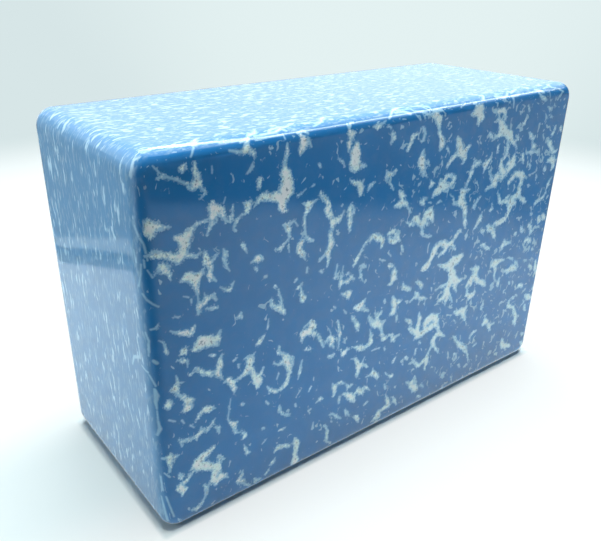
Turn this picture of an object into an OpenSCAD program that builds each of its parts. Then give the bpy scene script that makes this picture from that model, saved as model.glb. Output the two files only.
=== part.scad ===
// Marbled foam block: blue foam with white shreds, moulded as one piece.
// It stands on its long narrow side. X runs along the length, Y through the
// thickness and Z up. The origin is the middle of the underside.

/* [Block] */
// Length of the block
block_l = 230; // [180:1:300]
// Thickness between the two large faces
block_d = 90; // [60:1:120]
// Height, standing on its long narrow side
block_h = 150; // [120:1:200]

/* [Edges] */
// Radius routed along the rims of the large faces
rim_r = 5; // [3:0.5:7]
// Radius of the four corners of a large face
corner_r = 7.5; // [7.5:0.5:20]

/* [Marbling] */
// Thickness of a white shred, which moulding has pressed flat
shred_t = 1.2; // [0.6:0.1:2]
// Longest shred that lies in a large face
face_shred_l = 26; // [12:1:30]
// Spacing of the shreds across a large face
face_pitch = 19; // [18:1:40]
// Longest shred that is cut edge on at the top, underside and ends
edge_shred_l = 24; // [10:1:30]
// Spacing of the shreds along the top, underside and ends
edge_pitch = 24; // [22:1:40]
// Layers of shreds through the thickness, seen at the top and ends
layers = 6; // [3:1:7]
// Changes the way the shreds fell
fall = 7; // [1:1:99]

/* [Hidden] */
$fn = 48;
foam_blue = [0.27, 0.51, 0.72];
foam_white = [0.86, 0.89, 0.89];
// Steps from tip to tip of a shred that is seen flat, and of one seen edge on
flat_steps = 5;
edge_steps = 2;
// Shortest shred of each kind, as a share of the longest
flat_least = 0.25;
edge_least = 0.35;
// Width of a shred as a share of its length: a range for one seen flat
flat_w = [0.35, 0.75];
edge_w = 0.4;
// Thinnest shred seen edge on, as a share of shred_t
edge_thin = 0.4;
// Most that an edge-on shred leans, in degrees, and how deep its middle lies
edge_lean = 10;
edge_depth = 1;
// Share of its own cell that a shred can stray over, along a side and between layers
flat_stray = 0.6;
edge_stray = 0.9;
layer_stray = 0.7;
// Outline of a shred: its bends, its lobes as shares of half its width, its blunt tips
bend = [-0.5, 0.5];
lobe = [0.1, 1.2];
tip = 0.05;
// The six groups of shreds, two sides each: room for the seeds of one group
groups = 6;
group_room = 200;
face_group = 0;
level_group = 2;
end_group = 4;

// ---- the moulded block, with every edge rounded ----

// Rounded section of the block, cut across: reach by block_d
module section(reach) {
    square([reach - 2 * rim_r, block_d], center = true);
    square([reach, block_d - 2 * rim_r], center = true);
    for (x = [-1, 1], y = [-1, 1])
        translate([x * (reach / 2 - rim_r), y * (block_d / 2 - rim_r)])
            circle(r = rim_r);
}

// One quarter of the rounded column that fills a corner of the large face
module corner_column() {
    rotate_extrude(angle = 90)
        intersection() {
            section(2 * corner_r);
            translate([0, -block_d])
                square([corner_r, 2 * block_d]);
        }
}

module block_form() {
    along = block_l - 2 * corner_r;
    up = block_h - 2 * corner_r;
    // full height, between the corners
    rotate([90, 0, 90])
        translate([0, block_h / 2, -along / 2])
            linear_extrude(along)
                rotate(90)
                    section(block_h);
    // full length, between the corners
    translate([0, 0, corner_r])
        linear_extrude(up)
            section(block_l);
    for (x = [-1, 1], z = [-1, 1])
        translate([x * along / 2, 0, block_h / 2 + z * up / 2])
            rotate([90, x > 0 ? (z > 0 ? 0 : 90) : (z > 0 ? 270 : 180), 0])
                corner_column();
}

// ---- the white shreds, each pressed flat in the plane of the large faces ----

// Seed of a shred, from its group, its side of the block and its number
function seed_of(group, side, n) =
    (fall * groups + group + (side > 0 ? 1 : 0)) * group_room + n;

// A share picked between two limits
function between(limits, share) = limits[0] + (limits[1] - limits[0]) * share;

// One side of a shred, a point a step: it follows the bend, and its lobes are its own
function side_line(length, width, way, bends, lobes) =
    [for (i = [0:len(lobes) - 1])
        let (s = i / (len(lobes) - 1),
             mid = bends[0] * sin(180 * s) + bends[1] * sin(360 * s),
             fat = sin(180 * between([tip, 1 - tip], s)))
        [(s - 0.5) * length, width * (mid + way * lobes[i] * fat / 2)]];

function backwards(list) = [for (i = [len(list) - 1:-1:0]) list[i]];

// Outline of a bent, ragged shred about its own middle
function shred_outline(length, width, steps, seed) =
    let (bends = rands(bend[0], bend[1], 2, seed),
         lobes = rands(lobe[0], lobe[1], 2 * (steps + 1), seed + 0.5),
         upper = [for (i = [0:steps]) lobes[i]],
         lower = [for (i = [0:steps]) lobes[steps + 1 + i]])
    concat(side_line(length, width, 1, bends, upper),
           backwards(side_line(length, width, -1, bends, lower)));

// A shred lying at a place: a thin plate in the XZ plane, turned by its lie
module shred(place, lie, length, width, thick, steps, seed) {
    translate(place)
        rotate([90, lie, 0])
            linear_extrude(thick, center = true)
                polygon(shred_outline(length, width, steps, seed));
}

// A place in one of count cells along a length, strayed from the middle by a share of the cell
function cell(i, count, length, stray, share) =
    ((i + 0.5 + stray * (share - 0.5)) / count - 0.5) * length;

// Shreds lying in one large face, flush with it
module face_shreds(side) {
    cols = floor(block_l / face_pitch);
    rows = floor(block_h / face_pitch);
    for (i = [0:cols - 1], j = [0:rows - 1]) {
        seed = seed_of(face_group, side, i * rows + j);
        r = rands(0, 1, 5, seed);
        length = face_shred_l * between([flat_least, 1], r[0] * r[0]);
        shred([cell(i, cols, block_l, flat_stray, r[1]),
               side * block_d / 2,
               block_h / 2 + cell(j, rows, block_h, flat_stray, r[2])],
              180 * r[3], length, length * between(flat_w, r[4]), 2 * shred_t, flat_steps, seed);
    }
}

// Shreds cut edge on by the top or underside
module level_shreds(side) {
    cols = floor(block_l / edge_pitch);
    for (i = [0:cols - 1], k = [0:layers - 1]) {
        seed = seed_of(level_group, side, i * layers + k);
        r = rands(0, 1, 5, seed);
        length = edge_shred_l * between([edge_least, 1], r[0]);
        shred([cell(i, cols, block_l, edge_stray, r[1]),
               cell(k, layers, block_d, layer_stray, r[2]),
               block_h / 2 + side * (block_h / 2 - edge_depth)],
              edge_lean * between([-1, 1], r[3]), length, length * edge_w,
              shred_t * between([edge_thin, 1], r[4]), edge_steps, seed);
    }
}

// Shreds cut edge on by one of the ends
module end_shreds(side) {
    rows = floor(block_h / edge_pitch);
    for (j = [0:rows - 1], k = [0:layers - 1]) {
        seed = seed_of(end_group, side, j * layers + k);
        r = rands(0, 1, 5, seed);
        length = edge_shred_l * between([edge_least, 1], r[0]);
        shred([side * (block_l / 2 - edge_depth),
               cell(k, layers, block_d, layer_stray, r[1]),
               block_h / 2 + cell(j, rows, block_h, edge_stray, r[2])],
              90 + edge_lean * between([-1, 1], r[3]), length, length * edge_w,
              shred_t * between([edge_thin, 1], r[4]), edge_steps, seed);
    }
}

module shreds() {
    for (side = [-1, 1]) {
        face_shreds(side);
        level_shreds(side);
        end_shreds(side);
    }
}

module foam_block() {
    color(foam_blue)
        difference() {
            block_form();
            shreds();
        }
    color(foam_white)
        intersection() {
            block_form();
            shreds();
        }
}

foam_block();
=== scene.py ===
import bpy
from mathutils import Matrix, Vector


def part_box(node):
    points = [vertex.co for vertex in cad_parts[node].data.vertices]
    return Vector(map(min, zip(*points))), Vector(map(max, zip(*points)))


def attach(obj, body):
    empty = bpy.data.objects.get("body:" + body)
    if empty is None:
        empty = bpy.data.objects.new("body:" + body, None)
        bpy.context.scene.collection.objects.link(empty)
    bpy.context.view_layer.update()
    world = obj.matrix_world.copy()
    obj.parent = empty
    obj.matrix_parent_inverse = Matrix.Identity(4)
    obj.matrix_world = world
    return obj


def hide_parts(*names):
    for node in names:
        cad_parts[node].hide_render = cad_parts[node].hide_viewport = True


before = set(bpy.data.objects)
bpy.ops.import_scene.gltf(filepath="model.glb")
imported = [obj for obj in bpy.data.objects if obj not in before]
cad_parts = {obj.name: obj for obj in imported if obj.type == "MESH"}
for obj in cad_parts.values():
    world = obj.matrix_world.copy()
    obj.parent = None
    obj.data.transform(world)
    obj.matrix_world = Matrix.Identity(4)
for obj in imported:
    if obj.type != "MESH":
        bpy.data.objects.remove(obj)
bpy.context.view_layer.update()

import math

import bpy
import numpy as np
from mathutils import Euler, Vector

scene = bpy.context.scene
low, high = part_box("foam_block")
mm = 0.001
tiny = 1e-6   # keeps a division away from zero


# A socket that can stand in a sum, and makes whatever other node is asked of it
class Wire:
    def __init__(self, tree, socket=None):
        self.tree = tree
        self.socket = socket

    # the node's type, its settings, then a value or a wire for each socket
    def node(self, kind, settings=None, sockets=None, out=0):
        made = self.tree.nodes.new(kind)
        for name, value in (settings or {}).items():
            setattr(made, name, value)
        for name, value in (sockets or {}).items():
            socket = made.inputs[name]
            if isinstance(value, Wire):
                self.tree.links.new(value.socket, socket)
            else:
                socket.default_value = (*value, 1) if socket.type == "RGBA" else value
        return Wire(self.tree, made.outputs[out] if len(made.outputs) else None)

    def math(self, operation, *terms):
        return self.node("ShaderNodeMath", {"operation": operation}, dict(enumerate(terms)))

    def vector(self, operation, *terms, out=0):
        settings = {"operation": operation}
        return self.node("ShaderNodeVectorMath", settings, dict(enumerate(terms)), out)

    def scaled(self, amount):
        return self.node("ShaderNodeVectorMath", {"operation": "SCALE"}, {0: self, "Scale": amount})

    # several outputs of the node that this socket is on
    def outputs(self, *names):
        return [Wire(self.tree, self.socket.node.outputs[name]) for name in names]

    def xyz(self):
        return self.node("ShaderNodeSeparateXYZ", None, {0: self}).outputs("X", "Y", "Z")

    # 0 below the first value, 1 above the second, with a soft rise between
    def rise(self, start, end):
        return self.node("ShaderNodeMapRange", {"interpolation_type": "SMOOTHSTEP"},
                         {"Value": self, "From Min": start, "From Max": end})

    def colours(self, first, second):
        sockets = {0: self, 6: first, 7: second}
        return self.node("ShaderNodeMix", {"data_type": "RGBA"}, sockets, out=2)

    def __add__(self, other):
        return self.math("ADD", self, other)

    def __radd__(self, other):
        return self.math("ADD", other, self)

    def __sub__(self, other):
        return self.math("SUBTRACT", self, other)

    def __rsub__(self, other):
        return self.math("SUBTRACT", other, self)

    def __mul__(self, other):
        return self.math("MULTIPLY", self, other)

    def __rmul__(self, other):
        return self.math("MULTIPLY", other, self)

    def __truediv__(self, other):
        return self.math("DIVIDE", self, other)

    def __rtruediv__(self, other):
        return self.math("DIVIDE", other, self)


def newMaterial(name):
    material = bpy.data.materials.new(name)
    material.use_nodes = True
    material.node_tree.nodes.clear()
    return material, Wire(material.node_tree)


def addObject(name, data):
    made = bpy.data.objects.new(name, data)
    scene.collection.objects.link(made)
    return made


# White flakes that lie in the front, each a stroke of (x, z, half width) in mm
mainFlakes = [
    # left, upper half
    [(-108, 145.5, .2), (-106, 143, .3)],
    [(-107, 141.5, .4), (-105, 142, .4), (-100.5, 140, .5), (-97, 138, .4)],
    [(-94, 144, .9), (-93.5, 140.5, 1.2), (-93, 137.5, 1.2)],
    [(-96.5, 136.5, .6), (-94, 137, 1.3), (-92, 138, .7)],
    [(-99.5, 143.5, .3), (-98.3, 143.2, .7), (-97, 144.2, .2)],
    [(-98.3, 143.2, .6), (-98, 141.8, .2)],
    [(-92, 136, .4), (-90.5, 134, .5), (-92.5, 132.3, .2)],
    [(-81, 146, .4), (-77, 145, .6), (-74, 145.5, 1.3), (-72, 143.8, .8), (-71.4, 142.3, .2)],
    [(-74.2, 149, 1.4), (-74.5, 146, 1.2)],
    [(-72, 141, .2), (-73.3, 138.5, .7), (-74.5, 137.5, .4)],
    [(-65, 144.6, .8), (-64.4, 144.6, .8)],
    [(-87.8, 142, .2), (-87.8, 140, .3)],
    [(-69.2, 134.3, 1.2), (-70.3, 131.9, .8)],
    [(-58, 145, .4), (-58, 141.5, .7), (-59.2, 138.5, .9), (-59, 135, 1.9), (-58, 131.5, 2.6),
     (-58.6, 128.5, 2.9), (-60, 125.5, 2), (-60, 123, 1.5), (-58, 121, .8)],
    [(-57, 135, .8), (-56.5, 130, 1.2), (-56, 127.5, 1)],
    [(-61, 127, 2), (-64.5, 127.5, 1.6), (-67.5, 128.5, 1.5), (-70, 127.8, .9), (-72, 125.5, .2)],
    [(-76.2, 127.2, .2), (-74.4, 126.4, 1.3), (-73, 127.8, .2)],
    [(-74.4, 126.2, 1.2), (-74.8, 124, .5), (-77.5, 123.5, .3), (-79.5, 121.5, .3),
     (-80.3, 119.8, .4), (-79.4, 118.3, .3)],
    [(-90.3, 129, .2), (-88.2, 129, 1.1), (-86.5, 127.5, 1.2), (-84.8, 127.5, 1), (-84.6, 125, .8),
     (-83.4, 123, .6)],
    [(-88, 130.6, .3), (-88.2, 128, 1.2), (-88.5, 125.5, .9), (-89, 122.5, .7), (-91, 119.6, .3)],
    [(-87.5, 126.5, .7), (-86.8, 123.8, .4)],
    [(-83.4, 123, .6), (-82, 122.5, .4), (-80.8, 124.5, .3), (-80.2, 128, .2)],
    [(-84, 129.2, .25), (-83.2, 131, .15)],
    [(-90, 125, .3), (-94, 124.3, .6), (-97.5, 123, .5)],
    [(-111.8, 128.6, 1.4), (-111, 126, 2.4), (-108.2, 126.4, 1.5), (-105.8, 125.6, .5),
     (-103.5, 125.3, .15)],
    [(-111, 125, 1.5), (-110.6, 123.2, .6)],
    [(-102.6, 121.8, .8), (-100.2, 120.6, 1.6), (-98.6, 118.6, 1.8), (-99.8, 115.8, 1.4),
     (-101.6, 114.6, 1.6), (-101.6, 112.8, .8)],
    [(-99, 120, 1.4), (-97, 121.4, 1.2), (-95.8, 123.4, 1)],
    [(-113, 117.4, .5), (-110, 117.6, 1.5), (-107.4, 116.6, 1), (-104.6, 115.6, 1),
     (-101.8, 114.6, 1.5)],
    [(-100, 114.4, 1), (-97.2, 114.2, .7), (-95.4, 113.4, .6), (-93, 114.2, .2)],
    [(-92, 113.8, .9), (-91.4, 111, 1.2), (-90.2, 108.6, 1.2), (-90.6, 105.5, .9),
     (-90.6, 103, .9)],
    [(-90.4, 105.4, .8), (-88, 102.2, .4)],
    [(-90, 109.6, .9), (-88, 111, .4), (-86.8, 112.2, .15)],
    [(-109.6, 111.6, .3), (-108, 112.8, .8), (-106.8, 111, .9), (-105, 109, .7)],
    [(-107, 112.8, .5), (-104.8, 112.4, .3)],
    [(-112.6, 112.6, .15), (-111.2, 110, .3), (-110, 111.2, .2)],
    [(-101.5, 106, .6), (-98.8, 106.6, 2), (-96.2, 105.2, 1.8), (-94.6, 106.2, 1),
     (-93, 107.8, .2)],
    [(-96, 104, 1.2), (-95.8, 101.4, .8), (-95.4, 98.6, .3), (-95.4, 95, .4), (-95.6, 92.2, .7)],
    [(-95, 94.5, .6), (-93.2, 95.4, .8), (-91.6, 96.6, 1.1), (-89.6, 97.2, .9), (-88.4, 95.2, .7)],
    [(-92.4, 96.4, .4), (-92.9, 99.2, .15)],
    [(-92.6, 93, .3), (-90.4, 92.6, .6), (-88, 92, .5)],
    [(-84.8, 113.4, .2), (-84, 111.4, 1), (-84.4, 108.8, .7), (-83.6, 106.2, .4),
     (-82.5, 104.5, .3)],
    [(-77.4, 113.4, .2), (-76.6, 112.2, .7), (-75.2, 109.4, .2)],
    [(-73.8, 105.2, .3), (-70.8, 106.2, 1.4), (-68.6, 105.4, .6)],
    [(-71.8, 103, .4), (-71.2, 101.6, .5)],
    [(-86.6, 99.4, .2), (-84.6, 98, .5), (-82.6, 97.2, .6), (-80.9, 100, .3)],
    [(-67.8, 98.2, .7), (-67.2, 98.2, .7)],
    [(-59.8, 116.2, .4), (-57.6, 115.4, 1.1), (-57, 113.4, .9), (-57, 110.6, .5),
     (-59.5, 108.4, .4), (-61.2, 107.3, .6), (-63, 107.6, .15)],
    [(-57, 116.2, .5), (-54.6, 116.6, .4), (-53, 114.4, .2)],
    [(-57.2, 107.5, .3), (-56.8, 105, .2)],
    [(-51, 122.4, .3), (-48.2, 121.2, 1.5), (-45.4, 122.2, .5), (-44, 122.8, .1)],
    [(-48.4, 120.6, 1.2), (-50, 117, .7), (-49.8, 113, .6), (-49.2, 109.6, .5), (-47.4, 107.6, .6),
     (-45.8, 107, .7)],
    [(-50.4, 108, .5), (-52, 106.4, 1.2), (-52, 104.2, 1.4), (-50.6, 102.4, .9), (-49.2, 100, .3)],
    [(-42.4, 124.4, .8), (-41, 123, .9), (-38.8, 119.4, 1), (-37.4, 116, .8), (-36.8, 113, 1),
     (-36.6, 110, 1), (-37.2, 106.6, .8), (-36.8, 103.4, 1.2), (-38, 100.4, 1.3), (-37.8, 97.2, .6),
     (-38.6, 94.4, .2)],
    [(-39.6, 118, 1), (-38.4, 115, .9)],
    [(-36.6, 112.4, 1), (-34.4, 112.4, 1), (-32.4, 113, .7), (-31, 115.2, .4)],
    [(-39.6, 99.8, .8), (-42.2, 97.8, .6)],
    [(-51.8, 147, 1.4), (-50.8, 144, 1.7), (-52, 141.4, 1.5)],
    [(-49.2, 145.5, .7), (-47.5, 142.3, .4)],
    [(-53.4, 125.8, .4), (-51.6, 126.2, .3), (-49.6, 127.6, .15)],
    [(-46.8, 128, .4), (-45.8, 128.4, .4)],
    [(-43.8, 135.2, .4), (-43.2, 134.4, .4)],
    [(-65, 88, .7), (-65, 86, .8), (-63, 84, .9), (-61, 83, 1.2), (-59.6, 81.6, .9),
     (-58.4, 80.2, .4)],
    [(-61.8, 91.4, .2), (-61, 88.6, .5), (-60.2, 86, .5), (-60.6, 84, .6)],
    [(-53.4, 89, .3), (-51.4, 89.8, .6), (-50.4, 91, .3)],
    [(-51.2, 89, .5), (-50.6, 86, .7), (-50, 84, 1.2), (-50.2, 82.4, .4)],
    [(-54.2, 92.2, .4), (-53.2, 93, .6)],
    [(-48.4, 94.8, .6), (-48.2, 96.6, .5)],
    [(-63.4, 93.2, .5), (-62.8, 92.8, .5)],
    [(-41.6, 93.4, .6), (-40.8, 92.6, .6)],
    [(-106.6, 89, .3), (-103.8, 87.2, .7), (-100.6, 86.4, 1.2), (-98.8, 84.8, .9)],
    [(-98.6, 86, .9), (-97.2, 88.2, .4)],
    [(-97.6, 79.2, 1.6), (-94.4, 80.6, 2.4), (-91.6, 80, 2.2), (-88.8, 80, 1.4), (-87.2, 83, .2)],
    [(-89.6, 78, 1.1), (-88.6, 77, .6)],
    [(-103.2, 79.2, .8), (-101.6, 80.4, .8), (-101.6, 78.8, .9)],
    [(-113.2, 79, .8), (-112.2, 78.2, .7)],
    [(-111, 86.8, .15), (-109.6, 85.8, .3), (-108.8, 82.6, .5), (-108.4, 81.2, .8)],
    [(-80, 85.4, .4), (-78.6, 86.4, .7), (-78, 84.4, .3)],
    [(-66.2, 80.4, .2), (-66.8, 76.5, .4)],
    [(-113.4, 91.2, .3), (-111.6, 91.6, .5), (-110.6, 93, .2)],
    [(-104.6, 93.8, .3), (-103.2, 93.1, .4)],
    [(-100.8, 100.2, .2), (-98.9, 99.3, .3)],
    [(-98, 98.2, .4), (-98, 97, .4)],
    # left, lower half
    [(-105, 76.8, .15), (-102.4, 75.6, .5), (-101, 75, .6), (-101.1, 72.6, .15)],
    [(-92.2, 74.2, .4), (-90, 73.4, .6)],
    [(-98.2, 71.2, .2), (-96, 69, .9), (-94.6, 67.4, .8), (-92.6, 67, .6), (-91.8, 65.2, .6)],
    [(-86.8, 73, .2), (-88, 70.6, 1), (-88, 68, 1.3), (-89.2, 66, 1.2), (-88.6, 64.4, .8),
     (-87.3, 62.4, .4)],
    [(-92, 67, .5), (-89.6, 66.6, .8)],
    [(-100.4, 69.2, .4), (-99.2, 69.8, .4)],
    [(-105.8, 71, .2), (-105.4, 68, .8), (-107, 66, 1), (-106, 64.4, .9), (-105.4, 62.8, .7),
     (-103.6, 60.8, 1.1), (-102, 58.6, 1.5), (-102, 55.8, 1.7), (-104.2, 55.4, .6)],
    [(-105, 67.6, .5), (-103, 67.2, .15)],
    [(-100.6, 58.4, .8), (-99, 58.3, .15)],
    [(-109.6, 62, .4), (-109.6, 60.4, 1.4), (-111, 59.6, .5)],
    [(-86.8, 60.4, .4), (-84.8, 60.8, 1.2), (-83, 58.6, 1.2), (-82.4, 56, 1.2), (-82.2, 54.4, .6)],
    [(-82.8, 59.2, .6), (-80, 59.4, .4), (-77.6, 60.8, .9), (-75.6, 62, 1.5), (-75, 65.6, 1.6),
     (-75.6, 67.4, .7)],
    [(-74, 66.8, .5), (-72.4, 68.4, .15)],
    [(-76, 67.4, .5), (-77.6, 67.2, .2)],
    [(-74, 60.8, .8), (-72.8, 57.6, 1.4), (-71.4, 55, 2.1), (-71.4, 52.2, .9)],
    [(-70.2, 57.4, .8), (-68.8, 60.2, .5)],
    [(-72, 71.4, .6), (-70.6, 71.8, 1.1), (-68.6, 73.8, .6)],
    [(-99, 49, .4), (-96.8, 51.4, .9), (-94.6, 51.6, 1.5), (-92.4, 51.4, .8), (-90.6, 50.6, .2)],
    [(-106.4, 43.8, .8), (-105, 42.2, .9), (-102.6, 41.6, .6), (-99.6, 41.4, .6), (-98, 42.4, .9),
     (-96, 43.2, .8), (-94.6, 42.4, .9), (-92.6, 44.4, .6), (-91, 46.2, .2)],
    [(-97.6, 43, .6), (-97.2, 45, .4)],
    [(-106, 42.4, .6), (-105.6, 40, .4)],
    [(-91.2, 42.2, .5), (-89.8, 41, .9), (-89.6, 38.6, .4)],
    [(-113.6, 37.4, .6), (-111, 37.4, 1.2), (-108.8, 36.8, .9), (-106.8, 36.8, .15)],
    [(-110.4, 39.4, .4), (-111.2, 36, 1.1), (-110.8, 33.4, .9), (-111.4, 30.8, .5)],
    [(-102.6, 27.2, .9), (-100, 29, 2.2), (-97.4, 31, 1.9), (-94.6, 32, 1.2), (-92, 33.6, .6)],
    [(-99, 27, 2.2), (-96, 26, 2), (-94, 24.6, 1.6), (-91.6, 23.4, 1.7), (-90.6, 21.6, 1.4)],
    [(-90.4, 27.8, 1), (-88.6, 25.8, 1.1)],
    [(-92.2, 21, 1.6), (-93, 17.4, 1.7), (-92, 15.8, 1.5), (-89.8, 17.4, 1.3), (-88, 17, .8),
     (-86.4, 15, .3)],
    [(-107.8, 21.4, 1.9), (-106.4, 19.4, 1.5), (-107.2, 17, .5)],
    [(-107, 23, .8), (-104.4, 23.6, .7), (-103, 25.2, .5), (-101.6, 26, .3)],
    [(-107.4, 28.6, .2), (-107, 27, 1), (-106.4, 26, .6)],
    [(-97.6, 17.4, .2), (-96.6, 15, .9), (-96.4, 13, .8), (-97.6, 10.8, .5), (-99, 8.6, .7),
     (-101.4, 7.2, .8), (-103.6, 8, .4)],
    [(-84, 52, .15), (-84.8, 47.5, .25), (-85.6, 43.4, .4), (-84.6, 41, .5), (-83, 39.8, 1.2),
     (-81.2, 40, .6)],
    [(-83, 38.4, .8), (-82.6, 35.6, .6), (-80.6, 34.6, .3), (-79.6, 35.2, .2)],
    [(-79, 34, .4), (-78, 32, .9), (-79, 30.8, .5)],
    [(-78.6, 27.8, .2), (-78, 25.6, .4), (-77.2, 23, 1), (-75.8, 22.6, .5)],
    [(-61.6, 67.2, .2), (-61.4, 64.6, .6), (-59.6, 62.6, .8), (-58.8, 60.2, 1.1),
     (-57.4, 58.2, 1.5), (-56.4, 55, 1.2), (-56, 53, .9), (-57.4, 50.4, .9), (-58, 48, 1.1),
     (-59, 46.8, .7)],
    [(-57.2, 61.2, .4), (-54.8, 59, .5), (-54.4, 56.4, .4)],
    [(-64.2, 60.2, .15), (-61.6, 58.6, .6), (-59.6, 58.6, .9)],
    [(-61.6, 54.4, .4), (-62.4, 52.4, .4)],
    [(-67.2, 50.8, .3), (-65.4, 48, .9), (-63.4, 46.8, .8), (-60.4, 46.6, .6), (-58.4, 48, 1)],
    [(-50.4, 65.2, .5), (-49.6, 68.4, 1.5), (-47, 68.8, 1.5), (-45, 70.4, 1.4), (-43.2, 70, .8)],
    [(-46, 67.8, 1.2), (-43.6, 66, .8), (-41.4, 63.8, .8), (-40, 61, .6), (-38.8, 58.6, .7)],
    [(-49.4, 71, .4), (-46, 72.8, .5), (-44, 71.8, .6)],
    [(-47.8, 60.8, .9), (-46.2, 60, 1.1)],
    [(-50, 56.2, .2), (-50.6, 52, .6), (-51.8, 48, .3)],
    [(-61, 39.2, .3), (-61, 36.6, .8), (-59.6, 34, .4), (-57.6, 32.6, .3), (-55.6, 32.4, .3)],
    [(-67.8, 44, .4), (-66.6, 42.2, .6)],
    [(-79.2, 47.6, .6), (-78.6, 47, .7)],
    [(-82.4, 68.2, .3), (-81, 68.8, .4)],
    [(-80, 66, .2), (-80, 64.4, .4)],
    [(-53, 36.2, .6), (-52.6, 34.8, .5)],
    [(-42, 32, .3), (-39.4, 33.2, .9), (-38.4, 32.4, .4)],
    [(-46, 29.6, .4), (-44.6, 30, .5)],
    [(-69.6, 31.6, .6), (-68.8, 31.2, .6)],
    [(-61.4, 26.6, .4), (-58.2, 26.6, .5)],
    [(-69.8, 23.8, .3), (-67.8, 25.2, .3)],
    [(-46, 39.6, .4), (-44.8, 41.6, .4)],
    [(-63.6, 17, .7), (-61.6, 17.8, 1.2), (-59.4, 17.8, .9), (-57.4, 16.8, .9), (-55.8, 15.4, .4)],
    [(-53.2, 19, .4), (-52.4, 16.4, 1.5), (-52.2, 13.6, 1.5), (-52.8, 10.4, 1.2), (-53, 7.4, 1.7),
     (-52.6, 5.6, 2.2)],
    [(-66, 10.8, .4), (-64.4, 11.6, .8), (-63.2, 13.6, .2)],
    [(-79.4, 15.2, .3), (-80.4, 12.6, .7), (-81.6, 10.8, 1.3), (-80, 9.4, 1), (-78.4, 7.2, .6),
     (-76.6, 5.6, .5)],
    [(-74.2, 8, .4), (-73, 6.2, .9), (-70.8, 6.2, .5)],
    [(-68.6, 7.2, .5), (-66.6, 8.6, .3)],
    [(-43, 22.4, .3), (-43.4, 19.4, .8)],
    [(-36.6, 18, .4), (-35.4, 16.6, .3)],
    [(-109.8, 53.8, .4), (-107.4, 52.2, .3)],
    [(-104.8, 51.4, .5), (-104, 49.8, .3)],
    [(-101.6, 47.8, .4), (-100.2, 46.2, .3)],
    [(-113.2, 30.6, .3), (-111.4, 28.4, .3)],
    # middle, upper half
    [(-30.4, 148, .5), (-29.8, 145, .8), (-29, 143, 1.1), (-30, 141, .9), (-30.2, 138, .4)],
    [(-29, 144, .5), (-27.2, 144.4, .4)],
    [(-26.4, 139.6, 1.4), (-26.4, 136.4, 2.5), (-26.6, 133.4, 2.3), (-25.6, 131.4, 1.4)],
    [(-28.8, 131.2, .6), (-25, 131.6, 1), (-21.2, 131.2, .5)],
    [(-35, 136.4, .15), (-32.8, 134.6, .3), (-31.5, 132.6, .3)],
    [(-28.8, 127.2, .2), (-26, 125.4, .7), (-23.8, 124.6, 1.4), (-22.6, 122.4, 1.3),
     (-22.6, 120.4, .8)],
    [(-23, 124, .8), (-21.4, 126, .3)],
    [(-19, 121.2, .5), (-17.8, 122.8, .9), (-16, 124, .2)],
    [(-18.4, 145.4, .4), (-16.2, 145.2, .9), (-13.6, 146, .6), (-11.4, 146.8, .2)],
    [(-10.6, 144.8, .2), (-9.2, 144, .4)],
    [(-7.6, 141.4, .8), (-7.2, 139.8, 1.2), (-8.6, 138, .5)],
    [(-9.8, 127.6, .2), (-8.4, 125.8, .8), (-6.4, 125.6, .7), (-4.6, 126.8, .6)],
    [(-10.2, 125, .4), (-8.8, 122.8, .15)],
    [(-6.8, 121.4, .5), (-5, 118.8, .4)],
    [(-2, 117.8, .3), (-.4, 116, 1), (.6, 113.4, .8), (0, 112, 1.1), (-3.6, 111.6, .6)],
    [(.4, 112.6, 1.3), (3, 111.8, .9), (4.4, 109.4, .6), (6.4, 106.8, .3)],
    [(0, 116, .8), (2.6, 114.8, .3)],
    [(5.6, 139.4, .6), (3.4, 138.8, .8), (2.8, 136.6, .7), (1.2, 134, .7)],
    [(9, 141.6, .6), (10.4, 139, .5), (10, 136.4, .4), (8, 136.4, .2)],
    [(10.4, 132.4, .4), (9.8, 129.4, 1.6), (9.8, 127.4, 1.9), (11.4, 125, 1.3), (10.4, 123, .8)],
    [(11.4, 124, 1), (12.4, 121.8, .6), (14.2, 120.8, .15)],
    [(13.6, 128, .3), (14, 126.6, .5), (15.2, 125, .15)],
    [(8.6, 147.8, .6), (11, 146.4, .5), (14, 146, .8), (16, 145.6, 1.7), (18, 143.4, 1.5),
     (18.2, 140.6, .7), (19.2, 138, .5), (20.8, 135, 1.2), (21.4, 133, 1.3), (20.4, 130.6, .4)],
    [(24.6, 131.2, .3), (26.4, 129.2, .3)],
    [(30.6, 134.6, .7), (32, 132.4, 1.5), (33, 129.6, 1.6), (33.6, 127.8, 1.5), (36, 126.8, 1.5),
     (37, 124.8, 1.3), (36.2, 122.6, .5)],
    [(32, 127.8, .9), (28.6, 125.8, .8), (26.4, 123.6, .7)],
    [(36.6, 127.8, 1.3), (39, 130, .9)],
    [(25.4, 117, 1), (27, 118.8, .8), (29.4, 118.8, .8), (31.8, 117, 1), (31, 115, .9),
     (28.4, 114.2, .8), (26, 114.8, 1)],
    [(24, 115.8, 1.6), (22.6, 113.6, 1.8), (20.4, 112.6, .9), (18.4, 110.8, .2)],
    [(25.4, 113.4, 1.2), (27.8, 111.6, .2)],
    [(22.6, 118, .6), (23, 116, 1)],
    [(17, 118.6, .6), (17.4, 116.8, 1), (16.2, 115.6, .4)],
    [(17.6, 117, .7), (19.2, 117.2, .2)],
    [(11.6, 110, .4), (13, 110.4, 1.1), (13.8, 108.8, .8)],
    [(13.4, 110.6, .6), (14.8, 111.6, .15)],
    [(22.4, 108, .3), (23.6, 108.2, .8)],
    [(8.4, 104, .8), (10, 103.4, 1.2), (11.8, 101.6, 1.1), (13.6, 100, 1.1), (15, 101.6, 1.5),
     (16.6, 104, 1.8), (18.6, 104.6, 1.5), (19.6, 102, 1.3), (21, 99.6, .4)],
    [(14.2, 99, 1.1), (14.6, 96.4, .6), (15.4, 94.4, .4), (18, 93.4, .5), (20.8, 93, .2)],
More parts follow.
